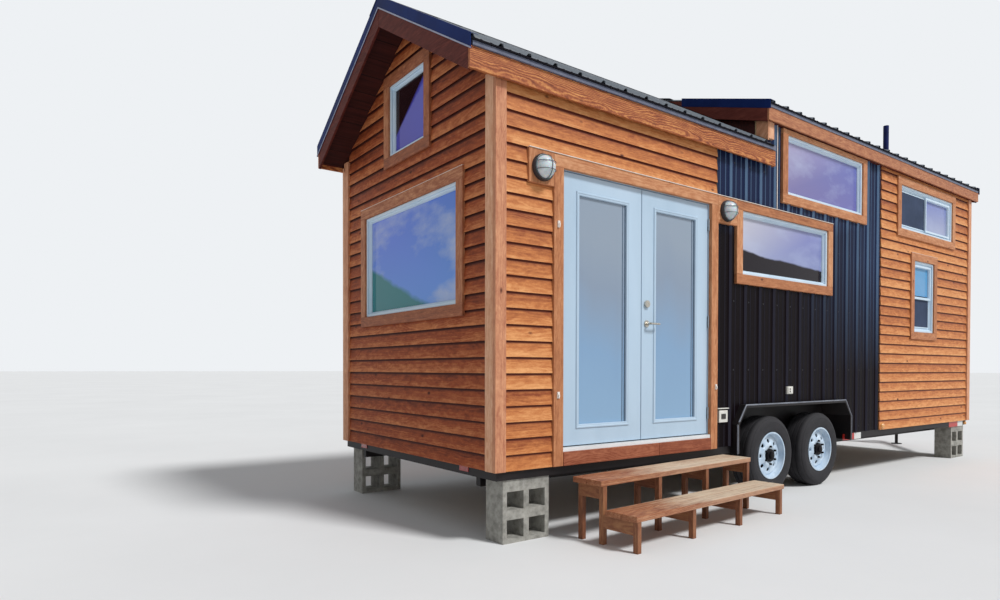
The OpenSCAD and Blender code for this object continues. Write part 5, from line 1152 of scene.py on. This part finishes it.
# Lights. Two round bulkhead lamps on the blocks beside the doors: a dark cast base, a frosted dome and
# a wire guard of a ring, two level bars and one upright.
# Cast aluminium base, stoved black; frosted prismatic glass; zinc-plated wire.
cast_base = spotted("stoved_cast_aluminium", "#1d1b1d", "#343036", 0.02, (0.4, 0.55), 0.0004)
dome_glass = spotted("frosted_prismatic_glass", "#bccad1", "#d8e1e5", 0.05, (0.2, 0.35), 0.0006,
    subsurface_weight=0.4, subsurface_scale=0.03)
guard_wire = spotted("zinc_plated_wire", "#4d5458", "#6e767a", 0.01, (0.3, 0.45), 0.0, metallic=0.6)
lamp_y, lamp_z, dome_r, dome_h, guard_r, ring_out = -32, 2547, 78, 70, 82, 32
base_profile = [(0, 0), (92, 0), (92, 20), (87, 28), (76, 28), (76, 8), (0, 8)]
a = np.linspace(0, math.pi / 2, 12)
dome = np.column_stack([dome_r * np.cos(a), 26 + dome_h * np.sin(a)])
dome_profile = np.concatenate([dome, [(0, 20), (74, 20)]])


def over_dome(x, u, v):
    """A wire's path over a lamp: at (u, v) from its middle it stands off by the dome's height there, which is
    dome_h sqrt(1 - (u^2 + v^2) / guard_r^2), plus the room for the wire."""
    out = 31 + dome_h * np.sqrt(np.clip(1 - (u ** 2 + v ** 2) / guard_r ** 2, 0, 1))
    return np.column_stack([x + u, lamp_y - out, lamp_z + v])


t = np.linspace(-1, 1, 21)
turns = np.linspace(0, 2 * math.pi, 48, endpoint=False)
for number, x in enumerate((361, 2440)):
    middle = (x, lamp_y, lamp_z)
    piece(f"lamp_base_{number}", *turned(base_profile, middle, out_of_wall, 56), cast_base, slot="lamp",
        replaces=["wall_lights"], smooth=35)
    piece(f"lamp_dome_{number}", *turned(dome_profile, middle, out_of_wall, 56), dome_glass, slot="lamp",
        smooth=50)
    wires = [rod(over_dome(x, t * math.sqrt(guard_r ** 2 - v * v), np.full(21, float(v))), 2.6)
        for v in (-26, 28)]
    wires.append(rod(over_dome(x, np.full(21, 8.0), t * math.sqrt(guard_r ** 2 - 64)), 2.6))
    ring = np.column_stack([x + guard_r * np.cos(turns), np.full(48, float(lamp_y - ring_out)),
        lamp_z + guard_r * np.sin(turns)])
    wires.append(rod(ring, 4, closed=True))
    piece(f"lamp_guard_{number}", *joined(wires), guard_wire, slot="lamp", smooth=50)

# Covered sockets. Cream moulded boxes let into the sheet: one with a cap strip over its dark face, and one
# with a lifted lid and two small openings.
# Moulded polycarbonate: cream, satin, slightly yellowed; its recesses are black brown.
cover = spotted("moulded_polycarbonate", "#d2d0c8", "#e2e0d9", 0.05, (0.35, 0.45), 0.0001)
socket_black = spotted("socket_recess", "#26221f", "#35302c", 0.02, (0.5, 0.6), 0.0002)
covers = [[[2361, -26, 712], [2481, 0, 816]], [[2336, -34, 829], [2491, 0, 837]],
    [[3438, -22, 937], [3535, 0, 1010]], [[3448, -27, 946], [3526, -22, 1001]]]
recesses = [[[2390, -31, 742], [2450, -26, 786]], [[3468, -29, 978], [3484, -27, 992]],
    [[3468, -29, 955], [3484, -27, 969]]]
piece("socket_covers", *bars(covers), cover, slot="cover_plastic", replaces=["outlets"], bevel=2.5)
piece("socket_face", *bars(recesses), socket_black, slot="cover_plastic", bevel=3)

# Vent pipe. A black plastic pipe of 62 mm through the dormer's roof, in a soft grey rubber boot that is
# pressed down onto the ribs.
# The black pipe's dark blue is a painted reflection of the sky, with the specular turned low.
pipe_black = spotted("abs_pipe_painted_sky_reflection", "#0a1440", "#132260", 0.1, (0.45, 0.6), 0.0003, specular=0.15)
boot_grey = spotted("lead_grey_rubber_boot", "#8f8f92", "#b4b3b3", 0.03, (0.6, 0.7), 0.0004)
vent_x, vent_y, pipe_r = 6058, 256, 31
vent_foot = ridge_z - (half_w - vent_y) * tan_dormer
pipe_low, pipe_high = (end.z * 1000 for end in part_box("vent_pipe"))
pipe_profile = [(pipe_r, pipe_low), (pipe_r, pipe_high - 1), (30, pipe_high), (27, pipe_high), (27, pipe_low)]
boot_profile = [(pipe_r, 84), (38, 80), (42, 64), (56, 56), (66, 40), (66, 20), (pipe_r, 20)]
piece("vent_stack", *turned(pipe_profile, (vent_x, vent_y, 0), straight_up, 40), pipe_black, slot="pipe",
    replaces=["vent_pipe"], smooth=40)
piece("vent_collar", *turned(boot_profile, (vent_x, vent_y, vent_foot), straight_up, 40), boot_grey,
    slot="pipe", smooth=40)

# Steps. Two loose treads of red-brown stained planks on posts and bearers, standing a little askew to
# the house, with the stain worn pale in the middle of each tread.
# The same softwood under a thin red-brown stain, with a bleached grey tan where it is trodden.
step_wood = stained_wood("worn_stained_step_planks", "#5f3524", "#8c553a", "#b67f5a", figure=0.3, knots=0.3,
    worn="#d2bfa6")
post_wood = stained_wood("stained_step_posts", "#5a3322", "#85553b", "#a67650", figure=0.2, knots=0.3)
askew = math.radians(3.7)
step_axes = np.array([[math.cos(askew), math.sin(askew), 0], [-math.sin(askew), math.cos(askew), 0],
    [0, 0, 1]])
foot = np.array([2440.0, -8.0, 0.0])
planks = cad_boards("step_planks")
run_x = ((planks - foot) @ step_axes.T)[..., :1]
run_x = (run_x - run_x.min()) / np.ptp(run_x)
boards("tread_planks", planks, step_wood, slot="step_wood", replaces=["step_planks"], bevel=4,
    more={"tread": np.concatenate([run_x, 0 * run_x, 0 * run_x], -1)})
# Four trestles, each with a post at the wall, one in the middle and one in front, and two bearers.
post_t, high_top, low_top, bearer_h, trestle_gap = 38, 392, 202, 89, 1808 / 3
timbers = []
for x in (-1860 + trestle_gap * i for i in range(4)):
    timbers += [[[x, y0, z0], [x + post_t, y1, z1]] for y0, y1, z0, z1 in (
        (-258, -220, 0, high_top), (-68, -30, 0, high_top - bearer_h),
        (-220, -30, high_top - bearer_h, high_top), (-546, -508, 0, low_top),
        (-508, -258, low_top - bearer_h, low_top))]
boards("step_posts_and_bearers", box_boards(timbers) @ step_axes + foot, post_wood, slot="step_wood",
    replaces=["step_posts"], bevel=2)
